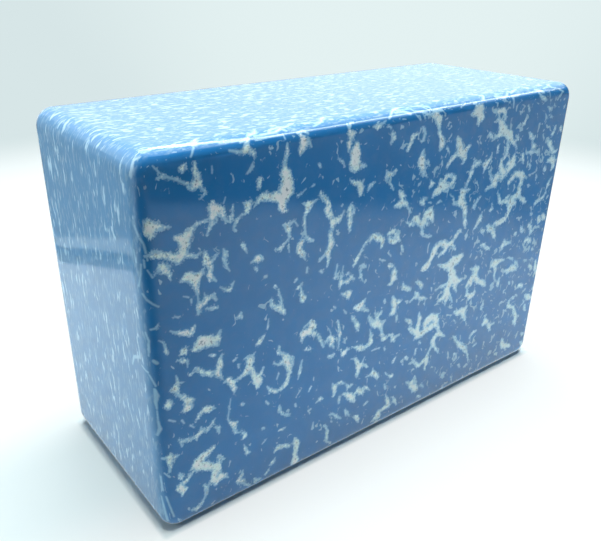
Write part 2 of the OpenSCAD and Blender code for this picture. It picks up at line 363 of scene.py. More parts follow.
    [(4, 103.2, .3), (6.4, 101.8, .5), (9, 100.8, .4)],
    [(16, 101, 1), (17.6, 99, .5)],
    [(30.2, 110, .2), (32.6, 108.4, .3)],
    [(33.2, 106.6, .3), (33.8, 105.4, .6), (35.6, 104.4, .5)],
    [(-27.4, 117.2, .5), (-28, 115, .8), (-27.6, 112.6, .9), (-27.4, 109.6, 1.1),
     (-27.6, 106.6, .5)],
    [(-26.2, 116, .4), (-26, 113.6, .4)],
    [(-24.2, 91.2, .6), (-22.8, 93.4, .9), (-21.6, 95.2, .5), (-20.4, 97.2, .6)],
    [(-19.6, 98.4, .7), (-17.4, 100.2, .6)],
    [(-16.2, 99.6, .6), (-15, 101, .9), (-13.4, 101, 1.2), (-11, 99.6, 1.4), (-9, 98, 1.2),
     (-9.2, 95.6, .7)],
    [(-5.6, 100.4, .7), (-3, 100.8, .9), (-1.4, 99, .8), (0, 97, 1), (1.8, 95.4, .2)],
    [(-5, 98.4, .6), (-4.4, 96.6, .9), (-2.6, 96, .8), (-1, 96, .8)],
    [(-21, 90, .5), (-19, 89.6, 1.1), (-17.4, 88.6, .4)],
    [(-21, 88, .3), (-20, 85.2, .5), (-18.6, 82.4, .2)],
    [(-33.2, 94, .3), (-33.6, 91, .4), (-34, 88.6, .5), (-32.6, 88.4, .2)],
    [(-30, 92.4, .2), (-30.4, 88.6, .4), (-31, 85.6, .8), (-31.2, 83, .3)],
    [(-30.4, 85.4, .4), (-27, 84.8, .7), (-25.4, 86, 1), (-23.6, 85, .4)],
    [(-27.8, 88.2, .3), (-27, 88.8, .4)],
    [(-30.2, 80.2, .4), (-28, 79.4, 1), (-26, 79, 1.3), (-26.8, 77.4, .5)],
    [(-10.2, 90, .2), (-8, 89, .5), (-6.4, 88.6, .2)],
    [(-5.2, 91.8, .2), (-3.4, 89.8, .3)],
    [(-4.2, 86, .5), (-3.4, 85.2, .8), (-1.8, 85.2, .5)],
    [(2.4, 93, .6), (3.4, 91, .7)],
    [(-.4, 83.4, .8), (-.6, 81, 1.6), (-.6, 78.6, 1.4), (-1.6, 76.8, .9), (-4, 76.6, .3)],
    [(0, 79, .8), (1.6, 77.8, .3)],
    [(17, 78, .8), (19.4, 78.6, 1.8), (21.4, 80.6, 1.3), (22.6, 82.6, 1.1), (24, 85, 1.4),
     (24.6, 87, 1.3), (27, 87.8, 1.3), (30, 87.6, 1.3), (32, 86, 1.3), (31, 83.6, 1.1),
     (28, 82.2, .9)],
    [(32, 85.6, 1), (35.6, 86.6, .8), (37.4, 88.8, 1), (40, 91, 1)],
    [(35.6, 86, .6), (36.6, 84.4, .5), (38.4, 82.4, .4)],
    # middle, lower half
    [(27.4, 77.8, .3), (30, 76.4, .8), (33, 75.4, 1.3), (36, 75.4, 2.2), (38.6, 76.4, 2.5),
     (41.6, 77, 2), (44, 78, 1)],
    [(37, 73, 2.3), (38.6, 69.6, 2.3), (40.6, 66, 2.1), (43.4, 65, 1.4), (46.4, 65.4, .5)],
    [(37.6, 66.4, 1.6), (34.4, 65.6, .7), (30.6, 65.6, .5), (28, 64.6, .3)],
    [(37.6, 66, 1.6), (36, 62, 1.9), (34.6, 59.6, 1.5), (31.8, 58.6, 1)],
    [(37.4, 60, 1.4), (36.4, 57, 1), (36, 54.6, .3)],
    [(41.4, 63, 1.1), (43.4, 59.6, .4)],
    [(39.4, 58, .6), (41.2, 54.6, .3)],
    [(23.4, 47.6, 1.6), (24, 50, 1.9), (27, 50.6, 2), (30, 50, 1.8), (31.6, 47.6, 1.3),
     (30.6, 46, 1.4), (27.6, 45.6, 1.7), (24.6, 45.4, 1.6), (22, 44.4, 1.5), (19.6, 44, 1.5),
     (17, 42.8, .9)],
    [(20, 44.6, 1.4), (16.6, 46.6, 1.1), (14, 48.8, .9), (12, 50, .7)],
    [(9.6, 55.6, .6), (12, 53.4, .8), (14, 51.6, .4)],
    [(18.2, 56.6, .2), (19, 53, 1.1), (18.4, 49.6, 1.3), (18.6, 46.6, 1.4)],
    [(31.6, 47.6, .9), (33.2, 43, .7), (34, 40, 1.1), (36, 38.6, .8), (39, 36.6, .4)],
    [(32.6, 40.4, 1), (30.4, 37.4, 1.3), (30.8, 35, 1.1), (32, 33.4, .8), (33.6, 31, .5),
     (35.4, 28.2, .3)],
    [(30, 35.4, .9), (27.8, 31, .5), (27, 28.6, 1.3), (27.2, 26, 1.3), (26.6, 23, .8)],
    [(14.8, 30, .5), (17.6, 30, .9), (19.4, 28.8, .9), (20.6, 26.6, 1.1), (22.6, 26.8, .8),
     (24.6, 27.6, .9), (26.4, 27.6, 1.2)],
    [(18.4, 36.6, .6), (18.4, 34.2, .6)],
    [(20.4, 39.8, .5), (21.4, 39, .5)],
    [(11.6, 34.8, .7), (13.2, 33.2, .9)],
    [(5, 37, .4), (3.8, 35.2, .9)],
    [(-22.2, 71.4, 1), (-20, 71, 1.7), (-18, 72.4, 1.1), (-16.4, 74, .3)],
    [(-18, 69.6, .8), (-14.4, 67.4, .6)],
    [(-23.6, 67.8, .5), (-22.2, 65, .5), (-20.6, 62.4, 1.1), (-20, 59.8, .8)],
    [(-31.4, 68, .6), (-30.6, 64.6, .7), (-29.8, 61.6, .7), (-30.4, 58, .5), (-30.6, 54.6, .2)],
    [(-37.8, 60.4, .6), (-35.4, 62, .9), (-34, 60.4, 1.1), (-34.8, 57.8, .7)],
    [(-35, 63.4, .3), (-36.4, 66.4, .15)],
    [(-34.2, 58.6, .7), (-33.2, 56.2, .4)],
    [(-36, 52.8, .7), (-33.4, 52.4, .9)],
    [(-29, 53.4, .8), (-27.4, 51, 1.1), (-25.8, 52.4, .8), (-24, 52, .2)],
    [(-22.4, 52.4, .15), (-19.6, 51.2, .9), (-17.6, 50.4, 1.2), (-15.6, 49.6, .9), (-13.4, 50, 1.1),
     (-11.8, 51.2, 1.2), (-11.6, 54, .7), (-12.8, 58, .2)],
    [(-13.8, 64.4, .7), (-12.6, 62, 1), (-10.6, 60, 1.2), (-8.6, 59, 1.8), (-6.8, 57.8, 1.5),
     (-5.4, 55.4, .8), (-5.2, 53, .5), (-4.2, 51, .9), (-2.6, 49.8, 1)],
    [(-9, 61, 1.4), (-8.2, 63.4, 1), (-6.2, 64.6, .6)],
    [(-5.6, 58.4, .8), (-3.4, 59.4, .3)],
    [(-10.6, 65.2, .4), (-9, 63.6, .6)],
    [(-.2, 70, .6), (.6, 67.4, 1.2), (3.4, 66.4, 1), (5.4, 66.2, .4)],
    [(1, 67, 1.2), (1.6, 64.8, 1.2), (1.4, 62.2, 1.3), (-1, 61.4, .5)],
    [(3.4, 59, .5), (3.4, 56.2, .3)],
    [(5.6, 74.4, .7), (6.6, 72.2, .9), (8.6, 71, .7), (10.6, 70, .8)],
    [(13.6, 73, .4), (16, 72, .9), (17.6, 70.6, .9), (17.9, 68.4, .5)],
    [(14.2, 67.8, .5), (15.6, 66.2, .9), (13, 65, .5), (10.8, 63.6, .3)],
    [(16.6, 65, .6), (18, 63.4, 1), (20, 63, .8), (21.8, 62.2, .6)],
    [(-4, 50, .9), (-1.8, 50, .5)],
    [(-.4, 50.6, .4), (1.4, 50, .9), (2, 48, 1.1), (3.2, 46.4, .6)],
    [(3.6, 48.6, .6), (6, 48.8, .8)],
    [(-10.6, 46.4, .4), (-8, 46.4, .4), (-5.8, 46.2, .2)],
    [(-2.8, 45, .5), (-2.4, 44, .6)],
    [(-23, 46.8, .2), (-20.6, 46, .4), (-19, 43.4, .9), (-18, 41, 1.3), (-18.4, 38.6, 1.2),
     (-18.8, 36, .7)],
    [(-17, 41.4, .9), (-14, 40, .8), (-12.2, 38.6, .3)],
    [(-16, 42.4, .7), (-14.8, 44.8, .15)],
    [(-33, 38.4, .3), (-32, 36, 1.1), (-31.6, 33.4, .9), (-32.2, 31, .4)],
    [(-30.4, 36.6, .6), (-28, 37.2, .7), (-26.2, 35.4, .4)],
    [(-24.6, 34, .7), (-23.4, 32.6, .9), (-21.4, 32.8, .5)],
    [(-28.4, 29.4, .7), (-28.8, 26.2, .6)],
    [(-26.6, 30.2, .5), (-24.4, 28.8, 1.1), (-22.6, 27.4, 1.5), (-21, 25.4, 1.4),
     (-19.4, 23.2, .8)],
    [(-19, 27.6, 1.1), (-17.4, 28.4, 1.1), (-15.6, 26.8, 1.3), (-14, 25.6, .9)],
    [(-13.8, 28.8, .7), (-12, 27.4, .6), (-10, 25.2, .2)],
    [(-9.2, 36.8, .4), (-9, 34.4, .9), (-7.4, 32.8, 1), (-6, 31, .9), (-6, 29.2, .2)],
    [(-13, 33.6, .4), (-10, 34, .6)],
    [(-33.6, 22.4, .5), (-31.6, 21.6, .6), (-30, 19.8, .8), (-28.4, 18.2, .6), (-27, 17, .2)],
    [(-25, 21, .3), (-23.6, 18.6, .8), (-22, 16.6, .3)],
    [(-37.2, 18.4, .2), (-35.4, 16, .4), (-34.6, 13.4, .9), (-35.4, 10.8, .8), (-35.2, 8.4, .5),
     (-32.6, 6.2, .5)],
    [(-20, 14.8, .2), (-17.8, 13.8, 1), (-16.6, 12.2, 1), (-15.8, 9.8, .3)],
    [(-13.2, 18.4, .5), (-11, 19.2, .5)],
    [(1.8, 28.4, .5), (3.6, 27.6, 1)],
    [(-1, 31.4, .3), (.2, 29.6, .4)],
    [(-1, 25, .2), (.4, 22, .6)],
    [(.6, 18.2, .2), (2, 15.4, .9), (2.6, 13, 1.3), (3, 11, 1.2), (.6, 11, 1), (-2, 10.4, .8),
     (-4, 9.4, 1.1), (-3, 7.8, 1.5), (-5.6, 7.4, .9), (-8, 6.4, .3)],
    [(5.6, 15, .5), (7, 12.6, 1), (8.8, 9.4, .4)],
    [(14, 19.8, .4), (17, 18, 1.1), (19.6, 18.4, 1), (21.8, 16.8, .5)],
    [(17.6, 16.4, 1.4), (20, 14.8, 1.8), (22, 12.6, 1.1), (19.6, 12.4, .8)],
    [(19.6, 21.2, .3), (20.4, 19.4, .6)],
    [(25.2, 14, .6), (27.2, 11.8, .4)],
    [(23.4, 8, .8), (25.8, 6.8, .5)],
    [(-5.4, 69.6, .5), (-4.8, 68.6, .6)],
    [(-33.8, 75.2, .4), (-33.2, 74.8, .5)],
    [(-28.6, 72.4, .3), (-27, 70.2, .3)],
    # right, upper half
    [(37.8, 143, .4), (40, 143.6, 1.3), (43, 144.4, 2.1), (44.2, 141.4, 2), (43.2, 139, 1)],
    [(40.4, 146, .9), (45, 146, 1)],
    [(53.4, 142.8, .3), (56.4, 142.2, .9), (59, 142.8, .8), (61.2, 141, .9), (62.2, 138.6, .5)],
    [(57.2, 139.6, .5), (58.8, 137.2, 1.3), (60, 134.6, 1.9), (62.4, 133.4, 1.9), (65, 131.6, 1.7),
     (67.6, 130.4, 1.7), (69.2, 127.8, .9)],
    [(60, 132, 1.1), (57, 131.4, .8), (55.2, 130, .3)],
    [(52, 134, .3), (53.4, 132.2, 1), (54.8, 130.8, .4)],
    [(66, 127.6, .6), (66.8, 125, .7), (67.2, 122, .3)],
    [(69.6, 127.4, .8), (71.4, 126.4, .7), (73.8, 124, .3)],
    [(73.2, 129.6, .4), (73.8, 128, .5)],
    [(60, 127.4, .4), (59.4, 126, .6), (59.2, 123.8, .4)],
    [(63.8, 120.4, .6), (63.4, 117, 1.1), (65, 115, 1), (66.6, 113.4, 1.2), (68.6, 111.6, .8)],
    [(65.6, 120.4, .5), (67, 123, .2)],
    [(68.6, 117.4, 1), (71, 116.8, 1.8), (72.4, 118.8, 1.4), (73, 121.4, .5)],
    [(72.4, 116.4, 1.3), (74.8, 115.6, .4)],
    [(70.8, 115.6, 1.1), (69.4, 113.4, .9)],
    [(61, 112, 1.8), (60.6, 109.6, 1.7), (61.6, 107.6, .8)],
    [(62.4, 112.4, 1.2), (66.4, 110.8, .5)],
    [(56.8, 113.8, .4), (58.6, 111.8, .9)],
    [(55.2, 107.8, .6), (58.4, 108.6, 1)],
    [(71.8, 108, 1), (73.6, 109.6, .9), (75.4, 111, 1), (78, 110.8, 1.3), (80.4, 110.2, 1.5),
     (81.6, 108.4, 1.2), (81.4, 106, 1.1), (80.6, 104, 1), (81.2, 102, 1.4), (80.4, 100.4, 1.5)],
    [(80.4, 100.4, 1.4), (78, 100, 1.1), (75.8, 98.8, 1.2), (76.2, 97, 1.7), (75.6, 94.8, 1.5),
     (75, 92.4, .9), (74.4, 90.2, .3)],
    [(77, 96.4, 1.3), (79.2, 96.4, .9)],
    [(74.6, 97.6, 1), (72, 98.6, .8), (69.6, 99, .8), (67.4, 98.8, .7), (66, 101, .4),
     (64.2, 105, .2)],
    [(70, 99.6, .5), (73.8, 101.2, .4)],
    [(82.6, 109.6, .5), (85.6, 107.2, .2)],
    [(81.6, 100, .9), (84, 97.2, .9), (86, 96.2, 1.1), (88.2, 95, .4)],
    [(43.6, 123.4, .2), (45.4, 121.4, .6), (47.6, 121.4, 1)],
    [(46, 120.6, .5), (43.4, 120, .5), (43, 117.4, .9), (41.6, 114.6, .6), (41, 112, .5)],
    [(50.4, 120.6, .4), (52, 119.2, 1.1), (54.6, 121.2, .8)],
    [(52, 119, .9), (51.4, 116, .4)],
    [(37.6, 110.4, 1.1), (38.4, 107.4, 1.7), (38.8, 105, 1.7), (40.6, 103.4, 1.3),
     (41.4, 101.6, 1.3), (41.8, 99, 1.1), (42.6, 95, .9), (43.6, 92.8, .7)],
    [(39.4, 109.6, 1.2), (42.4, 110, .8)],
    [(37.4, 105, 1.3), (34, 105.2, .5)],
    [(48.6, 99.8, .3), (48, 101.4, .8), (49.6, 103, .6), (51.6, 104.6, .2)],
    [(50, 89.4, .2), (52, 91.4, .7), (53.4, 93.4, 1.1), (54.4, 95.6, .7)],
    [(60.4, 96.4, .6), (62.6, 97, .4)],
    [(56.4, 87.2, .9), (58, 86.4, .9)],
    [(60, 89, .9), (62, 87, 1.2), (64, 86.4, .9), (65.6, 84.6, .8), (66.6, 82.6, .9),
     (67.4, 80.8, .3)],
    [(65.4, 89.4, .5), (68, 88.6, 1.1), (70.4, 88.8, 1.1), (73, 89.6, .8), (74.4, 88.2, .2)],
    [(45, 87.8, .5), (45.6, 87, .5)],
    [(57.6, 79.8, .9), (60, 79.6, .9)],
    [(59.6, 78.6, .6), (62.4, 77, .7), (64.4, 76.6, .4)],
    [(77.6, 142.4, .5), (78.8, 140.4, .5)],
    [(77.6, 138.4, .2), (77.2, 136.4, .5), (76, 134.6, .8)],
    [(81.8, 129.4, .6), (83.6, 127.6, 1), (85.6, 126, .4)],
    [(85.2, 124, .3), (87, 122.4, 1), (88.8, 122, .2)],
    [(82.4, 120.4, .5), (85.4, 120.2, .8), (88, 119.8, .5), (91.6, 119.2, .2)],
    [(79, 119.8, .7), (79.8, 117.6, .6), (81, 115.2, .2)],
    [(98.2, 123.6, .6), (100.4, 122, 1.5), (101.4, 120.4, 1.1), (102.6, 118.2, .9),
     (104.4, 117, .8), (107.4, 118, .4)],
    [(102.4, 130, .4), (101.2, 126.6, .9)],
    [(101, 113.6, .7), (103.4, 114, 1.1), (105.4, 112.8, 1.1), (106.4, 110.4, .9),
     (105.2, 108, .5)],
    [(99.2, 110.2, .8), (100, 109, .7)],
    [(107, 129, .8), (107.8, 127.6, .8)],
    [(85.6, 145.8, .5), (88.6, 144.8, .7), (91.4, 143.4, .3)],
    [(92.8, 140.4, .2), (95.4, 139, .6), (97, 139.4, .3)],
    [(97, 135.4, .5), (98.2, 134.8, .4)],
    [(93, 108, .4), (94, 106.4, .5)],
    [(86, 114, .5), (87, 113.2, .5)],
    [(106.2, 103.2, .5), (105, 101, .9), (104, 98.6, .5)],
    [(104.4, 96.8, .6), (102, 94.6, .7), (99.4, 94, .7), (96.6, 92.6, .7)],
    [(94, 88, .4), (95, 87.2, .7)],
    [(102, 84.4, 1), (103.2, 82, 1.2)],
    [(105, 85, 1), (107.6, 82.8, 1.2)],
    [(88, 81.4, 1), (89.6, 79.4, .8)],
    [(83.6, 79.6, .6), (84.6, 79.2, .6)],
    [(94.4, 82, .7), (96.4, 79.6, 1.1), (97.4, 77.2, .9)],
    [(75.8, 78, .9), (75, 75.4, 1.3)],
    [(76.4, 76, .8), (80, 75.8, .5), (81.6, 75, .2)],
    # right, lower half
    [(51.8, 68.8, .4), (55, 68.6, 1.1), (57, 67.4, 1.2), (56.4, 65, 1.5), (54, 64, 1.5),
     (52.4, 62.4, 1.3), (50.6, 60.4, .9)],
    [(53.4, 61.6, 1.2), (54, 60, .8)],
    [(56.6, 63.2, 1.5), (59, 60.8, 1.1), (61.4, 59.4, 1.1), (63.6, 58, 1.1), (65.6, 56.2, .7)],
    [(51.2, 58.6, .6), (51.6, 55.4, .9), (54, 53.6, 1.5), (56.6, 53.8, 1.2), (57.6, 55.8, .6)],
    [(68.6, 66.4, 1), (71, 67.6, 1.5), (73, 67, 1.2), (75.4, 67.6, .8), (78, 67, .3)],
    [(71, 66.4, 1.3), (71.8, 63.6, .7), (72, 59.8, .5), (73.2, 56.4, .3)],
    [(81, 67.4, .5), (83.6, 66.4, .6), (85.8, 65.2, .2)],
    [(80.2, 60.2, .6), (83, 59.4, 1.3), (85.4, 60.4, 1.6), (88, 60, 1.3), (90, 58.6, .6)],
    [(87.6, 63.8, .5), (89.4, 62.2, .8), (91, 60.4, .3)],
    [(76.4, 57, .7), (76, 54.4, .9), (76.6, 52.6, .3)],
    [(85.2, 52.8, .4), (86.2, 51.2, .4)],
    [(95.4, 47.8, 1.2), (97.6, 46.8, 1.1)],
    [(101.6, 57.4, .8), (103.8, 55.2, .9)],
    [(106.4, 58.6, .9), (107.6, 54.8, 1.1), (108.6, 51.6, .8)],
    [(44, 48.4, .7), (46.4, 47, 1.1), (48.6, 47.4, 1.5), (51, 46.8, 1.7), (52.6, 48.4, .7)],
    [(50.6, 46, 1.3), (51.4, 44, 1.2), (53.2, 41, .6)],
    [(65.8, 47.4, .3), (65.2, 43.6, .8)],
    [(88.2, 40.6, .6), (88.6, 37.6, 1.1), (90.6, 36.4, .8), (93, 35.6, .8), (94.6, 33, .9),
     (96, 30.6, 1.1), (97, 28, 1.1), (97, 25.6, .9), (98, 23, .3)],
    [(97, 29, .7), (100, 28, .3)],
    [(90.8, 42.4, .5), (92, 41.4, .6)],
    [(93.6, 42.8, .4), (95, 42, .4)],
    [(102.8, 39.8, 1), (105.6, 38, 1.5), (108.4, 36.6, 1)],
    [(104, 33.4, .9), (104.6, 30.6, .6)],
    [(68.4, 33, .9), (70, 34.6, 1.4), (71.8, 34, 1.1), (73, 31.6, .7), (74.6, 30, 1.1),
     (75.6, 27.8, .6)],
    [(75.4, 31, .7), (78, 30.8, .4)],
    [(59, 28.4, .5), (60, 30.4, .6), (61.6, 31.2, .8), (63.8, 31.2, .5)],
    [(45, 34.8, .2), (46.8, 32.6, .5), (48.2, 30.6, .6), (50.4, 28.6, .7), (51.8, 27, 1.2),
     (53.4, 25.4, .9), (55.4, 24, 1), (57, 22.4, 1), (58.4, 20.2, .5), (59.8, 17.4, .4),
     (60.6, 13.6, .2)],
    [(87.8, 18.4, .5), (88.6, 15.4, 1.3), (90, 13, 1.5), (92.4, 12, 1.4), (95, 11.2, 1.1),
     (97, 10.2, .5)],
    [(84, 10.2, .8), (85.2, 9.4, .7)],
    [(52.6, 15, .4), (54.2, 13, .4)],
    [(40.6, 13.4, .7), (41.4, 12.6, .6)],
    [(93.4, 73.2, .8), (95.6, 73.8, .9), (97.6, 72.6, .9), (99, 71.4, .3)],
    [(95.6, 62.4, .5), (97.4, 61.6, .5)],
    [(101.2, 67.4, .5), (102.2, 66.4, .5)],
    [(105.6, 15.4, .8), (107, 14.4, .8)],
    [(106.6, 9.6, .9), (108, 7.4, 1)],
    [(63, 22.4, .5), (65.4, 23, .5)],
    [(48, 23.4, .4), (49.4, 22.8, .4)],
]

# Thin ones that lap round the front's left edge, with x going on along the skin
sideFlakes = [
    [(-115.5, 127.5, .25), (-114.5, 124, .45), (-113, 121.5, .35), (-112.5, 118, .4),
     (-112.3, 116, .3)],
    [(-114.5, 114.5, .25), (-115, 111, .3), (-116.3, 106.5, .3)],
    [(-115, 104, .35), (-113.7, 102, .45), (-112, 100.5, .4), (-110, 99, .3)],
    [(-113.4, 116, .35), (-113.4, 113.5, .25)],
    [(-117, 119, .3), (-116.4, 115, .25)],
    [(-115.4, 89.5, .3), (-114.4, 86.5, .45), (-115, 80.5, .25)],
    [(-119.8, 74.5, .3), (-116, 73.5, .45), (-114.6, 71, .4), (-113.5, 68.5, .4)],
    [(-114, 67, .6), (-113.5, 64.5, 1.2), (-114, 61.5, .8), (-113.8, 58.5, .3), (-113.8, 53.5, .35),
     (-113.4, 50, .9), (-114.6, 47, .5)],
    [(-115, 27.5, .4), (-114.6, 21, .45)],
    [(-113.5, 18, .3), (-111.2, 7.5, .4)],
    [(-115.5, 17.5, .35), (-113.8, 5.5, .6)],
    [(-121.7, 85, .3), (-120.8, 80.5, .5), (-120.7, 77.5, .8), (-126, 75, .7), (-128, 71, .4)],
    [(-122.6, 49, .3), (-122, 41.5, .45)],
]

# Flakes that run on over the front's top edge, with z going on along the skin
edgeFlakes = [
    [(-94.8, 146.6, .2), (-92.8, 149.4, .4)],
    [(-92.5, 151.8, .5), (-91, 152.8, .9), (-89.6, 154, .8), (-88.2, 155, .3)],
    [(-82.4, 154.2, .3), (-80.6, 155.6, .6), (-79, 156.8, .3)],
    [(-74.6, 146, 1.2), (-73.4, 148.4, 1.2), (-72, 150.2, .7), (-70.6, 152.4, .4)],
    [(-76, 148.4, .4), (-73, 149.2, .9)],
    [(-71.4, 150.6, .8), (-68.6, 151.2, .7), (-66, 155.4, .4)],
    [(-69.6, 149.9, .5), (-65, 150, .6), (-61, 150.1, .7), (-58, 151.4, .9), (-56.4, 149.8, .4)],
    [(-70, 148.2, .25), (-65, 148.6, .35), (-58.6, 148.6, .4), (-58.2, 147, .3)],
    [(-52.6, 148.2, .5), (-50, 148.8, .7), (-48.2, 147.6, .6)],
    [(-47.2, 153.2, .5), (-45.8, 153.3, .5)],
    [(-44.6, 149.8, .3), (-42, 150.5, .4), (-39.2, 152, .6), (-37.4, 154.4, 1.1), (-35, 156.2, .8)],
    [(-40.6, 151.2, .3), (-36, 154.2, .8)],
    [(-26.6, 152.6, .7), (-23.6, 152.8, .5)],
    [(-29.2, 146.7, .7), (-28, 148.6, .6), (-26.4, 148.7, .3)],
    [(-8.6, 147.8, .5), (-5.8, 150.2, .7), (-3.6, 151.7, 1), (-.4, 152.8, 1.1), (3, 152.4, .4)],
    [(-4.4, 150, .8), (0, 149.8, .9), (3.2, 148.2, .7)],
    [(.4, 150.9, .3), (4.6, 150.4, .4), (6, 148.6, .4)],
    [(6.2, 149, .4), (10, 148.2, .6), (12.3, 147.5, .4)],
    [(6.8, 151.7, .3), (11.5, 151.3, .5), (14.6, 149.8, .5), (15.4, 147.5, .3)],
    [(11.5, 150.2, .4), (14.2, 148.2, .5), (12.7, 145.5, .5)],
    [(5.8, 147.5, .2), (8, 145.2, .3)],
    [(10, 147.5, .4), (10.8, 145.5, .5)],
    [(16, 147.6, .8), (18.6, 147.9, 1), (21, 147.4, .6)],
    [(41, 148, .6), (42.6, 148.2, .7)],
    [(48.2, 149.3, 1), (50, 151.4, .8)],
    [(56.2, 149.4, .5), (59.2, 149, .6), (62.4, 148.4, .8), (64.2, 149, .8), (65.6, 150.3, .6)],
    [(57.6, 151.1, .4), (60.8, 150.2, .5)],
    [(67, 148.2, .6), (70.8, 148.2, .6), (73, 148.7, .3)],
    [(67.6, 149.8, .4), (70.4, 151, .9), (72.4, 151.4, .5)],
    [(67.7, 147.4, .8), (68.1, 143.2, .4)],
    [(85.4, 149.5, .8), (88.4, 148.6, 1), (90.8, 147.4, .6)],
    [(87, 147.5, .7), (89.2, 145.2, 1.1), (92.3, 143.6, .6)],
    [(91.4, 149.4, .4), (95, 149.9, .5)],
    [(95, 147.5, .3), (95.4, 144.8, .4)],
    [(97.6, 149.4, .4), (100.8, 148.6, .4)],
    [(103, 147.5, .3), (106, 146.3, .4)],
]

foam = {
    "rimRadius": 5.0 * mm,
    "cornerRadius": 7.5 * mm,
    "facet": 1.06 * mm,          # size of a face on the two large sides
    "edgeFacet": 2.1 * mm,       # and through the thickness
    "roughness": 0.04,
    "refraction": 1.77,
    "relief": (("wave", 0.30), ("ripple", 0.012), ("skin", 0.008)),   # the gloss's waves, in mm

    "blue": (0.018, 0.191, 0.494),
    "blueSwing": 0.07,           # share by which it darkens and pales
    "cloudBlue": (0.057, 0.222, 0.490),   # where fine white is kneaded into the blue
    "white": ((0.79, 1.0, 1.0), (0.61, 0.86, 0.95)),   # at the left and at the right
    "cream": ((0.93, 0.96, 1.0), (0.76, 0.88, 0.92)),
    "dullWhite": (0.62, 0.79, 0.87),
    "thinWhite": (0.36, 0.64, 0.84),
    "wispWhite": (0.34, 0.58, 0.76),
    "topWhite": (0.42, 0.62, 0.66),
    "endWhite": (0.46, 0.73, 0.92),
    "hazeTint": (0.47, 0.75, 0.70),
    "pit": (0.24, 0.36, 0.46),

    # the strokes, with lengths in mm
    "flakeSpread": (1.0095, 1.0133),   # eases the front's strokes into place
    "flakeShift": (1.05, -1.55),
    "flakeDepth": 0.8,           # how fast a front flake narrows over the rim
    "joinSharpness": 2.6,        # how tightly strokes blend into each other, per mm
    "strokeReach": 4.0,          # no stroke's depth is followed further than this
    "fineWidth": 0.75,           # strokes thinner than this are drawn apart
    "fineReach": (3.0, 16.0),    # how far back they are drawn, at the front and by its edges
    "fineShare": 0.8,            # of their width
    "fineTop": 3.0,              # the top edge's begin this far under its rim
    "lap": (4.0, 2.0),           # and from here to here under the top they get a heart
    "nowhere": 8.0,              # takes a flake away where it doesn't belong

    "crossing": (-70.0, 90.0),   # between these, in mm, the left's look turns into the right's
    "faceDepth": (0.6, 3.2),     # how deep, in mm, a large face's own pattern reaches
    "topDepth": (3.5, 0.5),      # and how far down the top's look begins and is whole
    "layerFlatness": 6.0,        # how much flatter than wide everything is pressed

    "flakeGain": (-0.05, 0.17),  # mm added to the drawn flakes at the left and at the right
    "grainSize": 9.5,            # blue granules, in mm, that the white is squeezed between
    "grainDrift": 9.0,           # how far, in mm, they are pulled out of shape
    "backLevel": 0.69,           # higher means less white on the back
    "backTorn": 0.7,             # share of the front's tearing
    "thinEdge": (-0.45, 0.32),   # from a flake's outline inwards, in mm
    "thinShare": 0.85,
    "heartEdge": (0.2, 0.95),
    "creamEdge": (0.6, 1.8),
    "creamShare": (0.85, 0.45),
    "mottleEdge": (0.36, 0.62),
    "pitEdge": (0.565, 0.63),
    "pitShare": 0.85,

    "streakScale": (0.20, 0.48, 0.12),
    "faintScale": (0.36, 0.95, 0.20),
    "streakSway": 5.0,           # how far, in mm, the edge-on streaks wander
    "streakRipple": 2.0,
    "topLevel": 0.56,            # lower means more white
    "endLevel": 0.585,
    "streakEdge": (0.0, 0.07),
    "streakShare": 0.85,
    "faintEdge": (-0.08, 0.09),
    "faintShare": 0.45,
    "haze": 0.15,                # share of white too fine to see, where the layers are cut edge on
    # on the top, haze that grows towards the right: fine white, and partly a painted reflection of
    # a brighter room
    "topHazeAndReflection": (0.10, 0.20),

    "cloud": (0.28, 0.62),       # share of fine white, at the left and at the right
    "cloudEdge": (0.42, 0.66),
    "webSize": 7.6,              # wisps lie in the joints of a finer web of granules
    "webWidth": 0.016,
    "webTorn": 0.15,
    "patchLevel": (0.65, 0.60),
    "patchSharpness": 7.0,
    "patchMost": 0.12,
    "wispEdge": (-0.15, 0.25),
    "wispShare": 0.6,
    "speckShape": (1.3, 1.0, 0.75),
    "speckTorn": 0.010,
    "speckMore": 0.085,          # at the right
    "speckEdge": (0.685, 0.735),
    "speckShare": 0.85,

    # scale per mm, detail, roughness, and the place in the noise where it starts
    "noise": {
        "ragged": (0.42, 4.0, 0.62, (0, 0, 0)),
        "torn": (1.3, 2.5, 0.60, (40, 0, 0)),
        "fineEdge": (0.8, 3.0, 0.6, (0, 0, 44)),
        "grainDrift": (0.16, 2.0, 0.5, (0, 90, 0)),
        "crowd": (0.055, 2.0, 0.5, (7, 50, 7)),
        "streakSway": (0.035, 2.0, 0.5, (0, 0, 80)),
        "streakRipple": (0.11, 2.0, 0.5, (20, 0, 0)),
        "streak": (1.0, 3.0, 0.5, (0, 0, 0)),
        "streakCrowd": (0.045, 1.0, 0.5, (60, 0, 0)),
        "faint": (1.0, 2.0, 0.55, (0, 33, 0)),
        "patch": (0.2, 2.0, 0.5, (0, 0, 60)),
        "speck": (0.30, 1.5, 0.5, (30, 0, 30)),
        "speckCrowd": (0.07, 1.0, 0.5, (11, 0, 3)),
        "tone": (0.05, 3.0, 0.6, (0, 0, 0)),
        "cloud": (0.16, 3.0, 0.6, (0, 0, 25)),
        "mottle": (0.7, 4.0, 0.7, (0, 0, 9)),
        "pit": (0.75, 3.0, 0.65, (5, 5, 5)),
        "wave": (0.02, 1.0, 0.5, (0, 0, 0)),
        "ripple": (0.12, 1.0, 0.5, (0, 70, 0)),
        "skin": (1.2, 2.0, 0.6, (0, 0, 0)),
    },
    # how far a noise swings what it is added to
    "swing": {"ragged": 3.0, "torn": 2.2, "fineEdge": 0.45, "crowd": 0.5, "streakCrowd": 0.16,
              "speckCrowd": 0.25, "tone": 5.0, "mottle": 1.2},
}


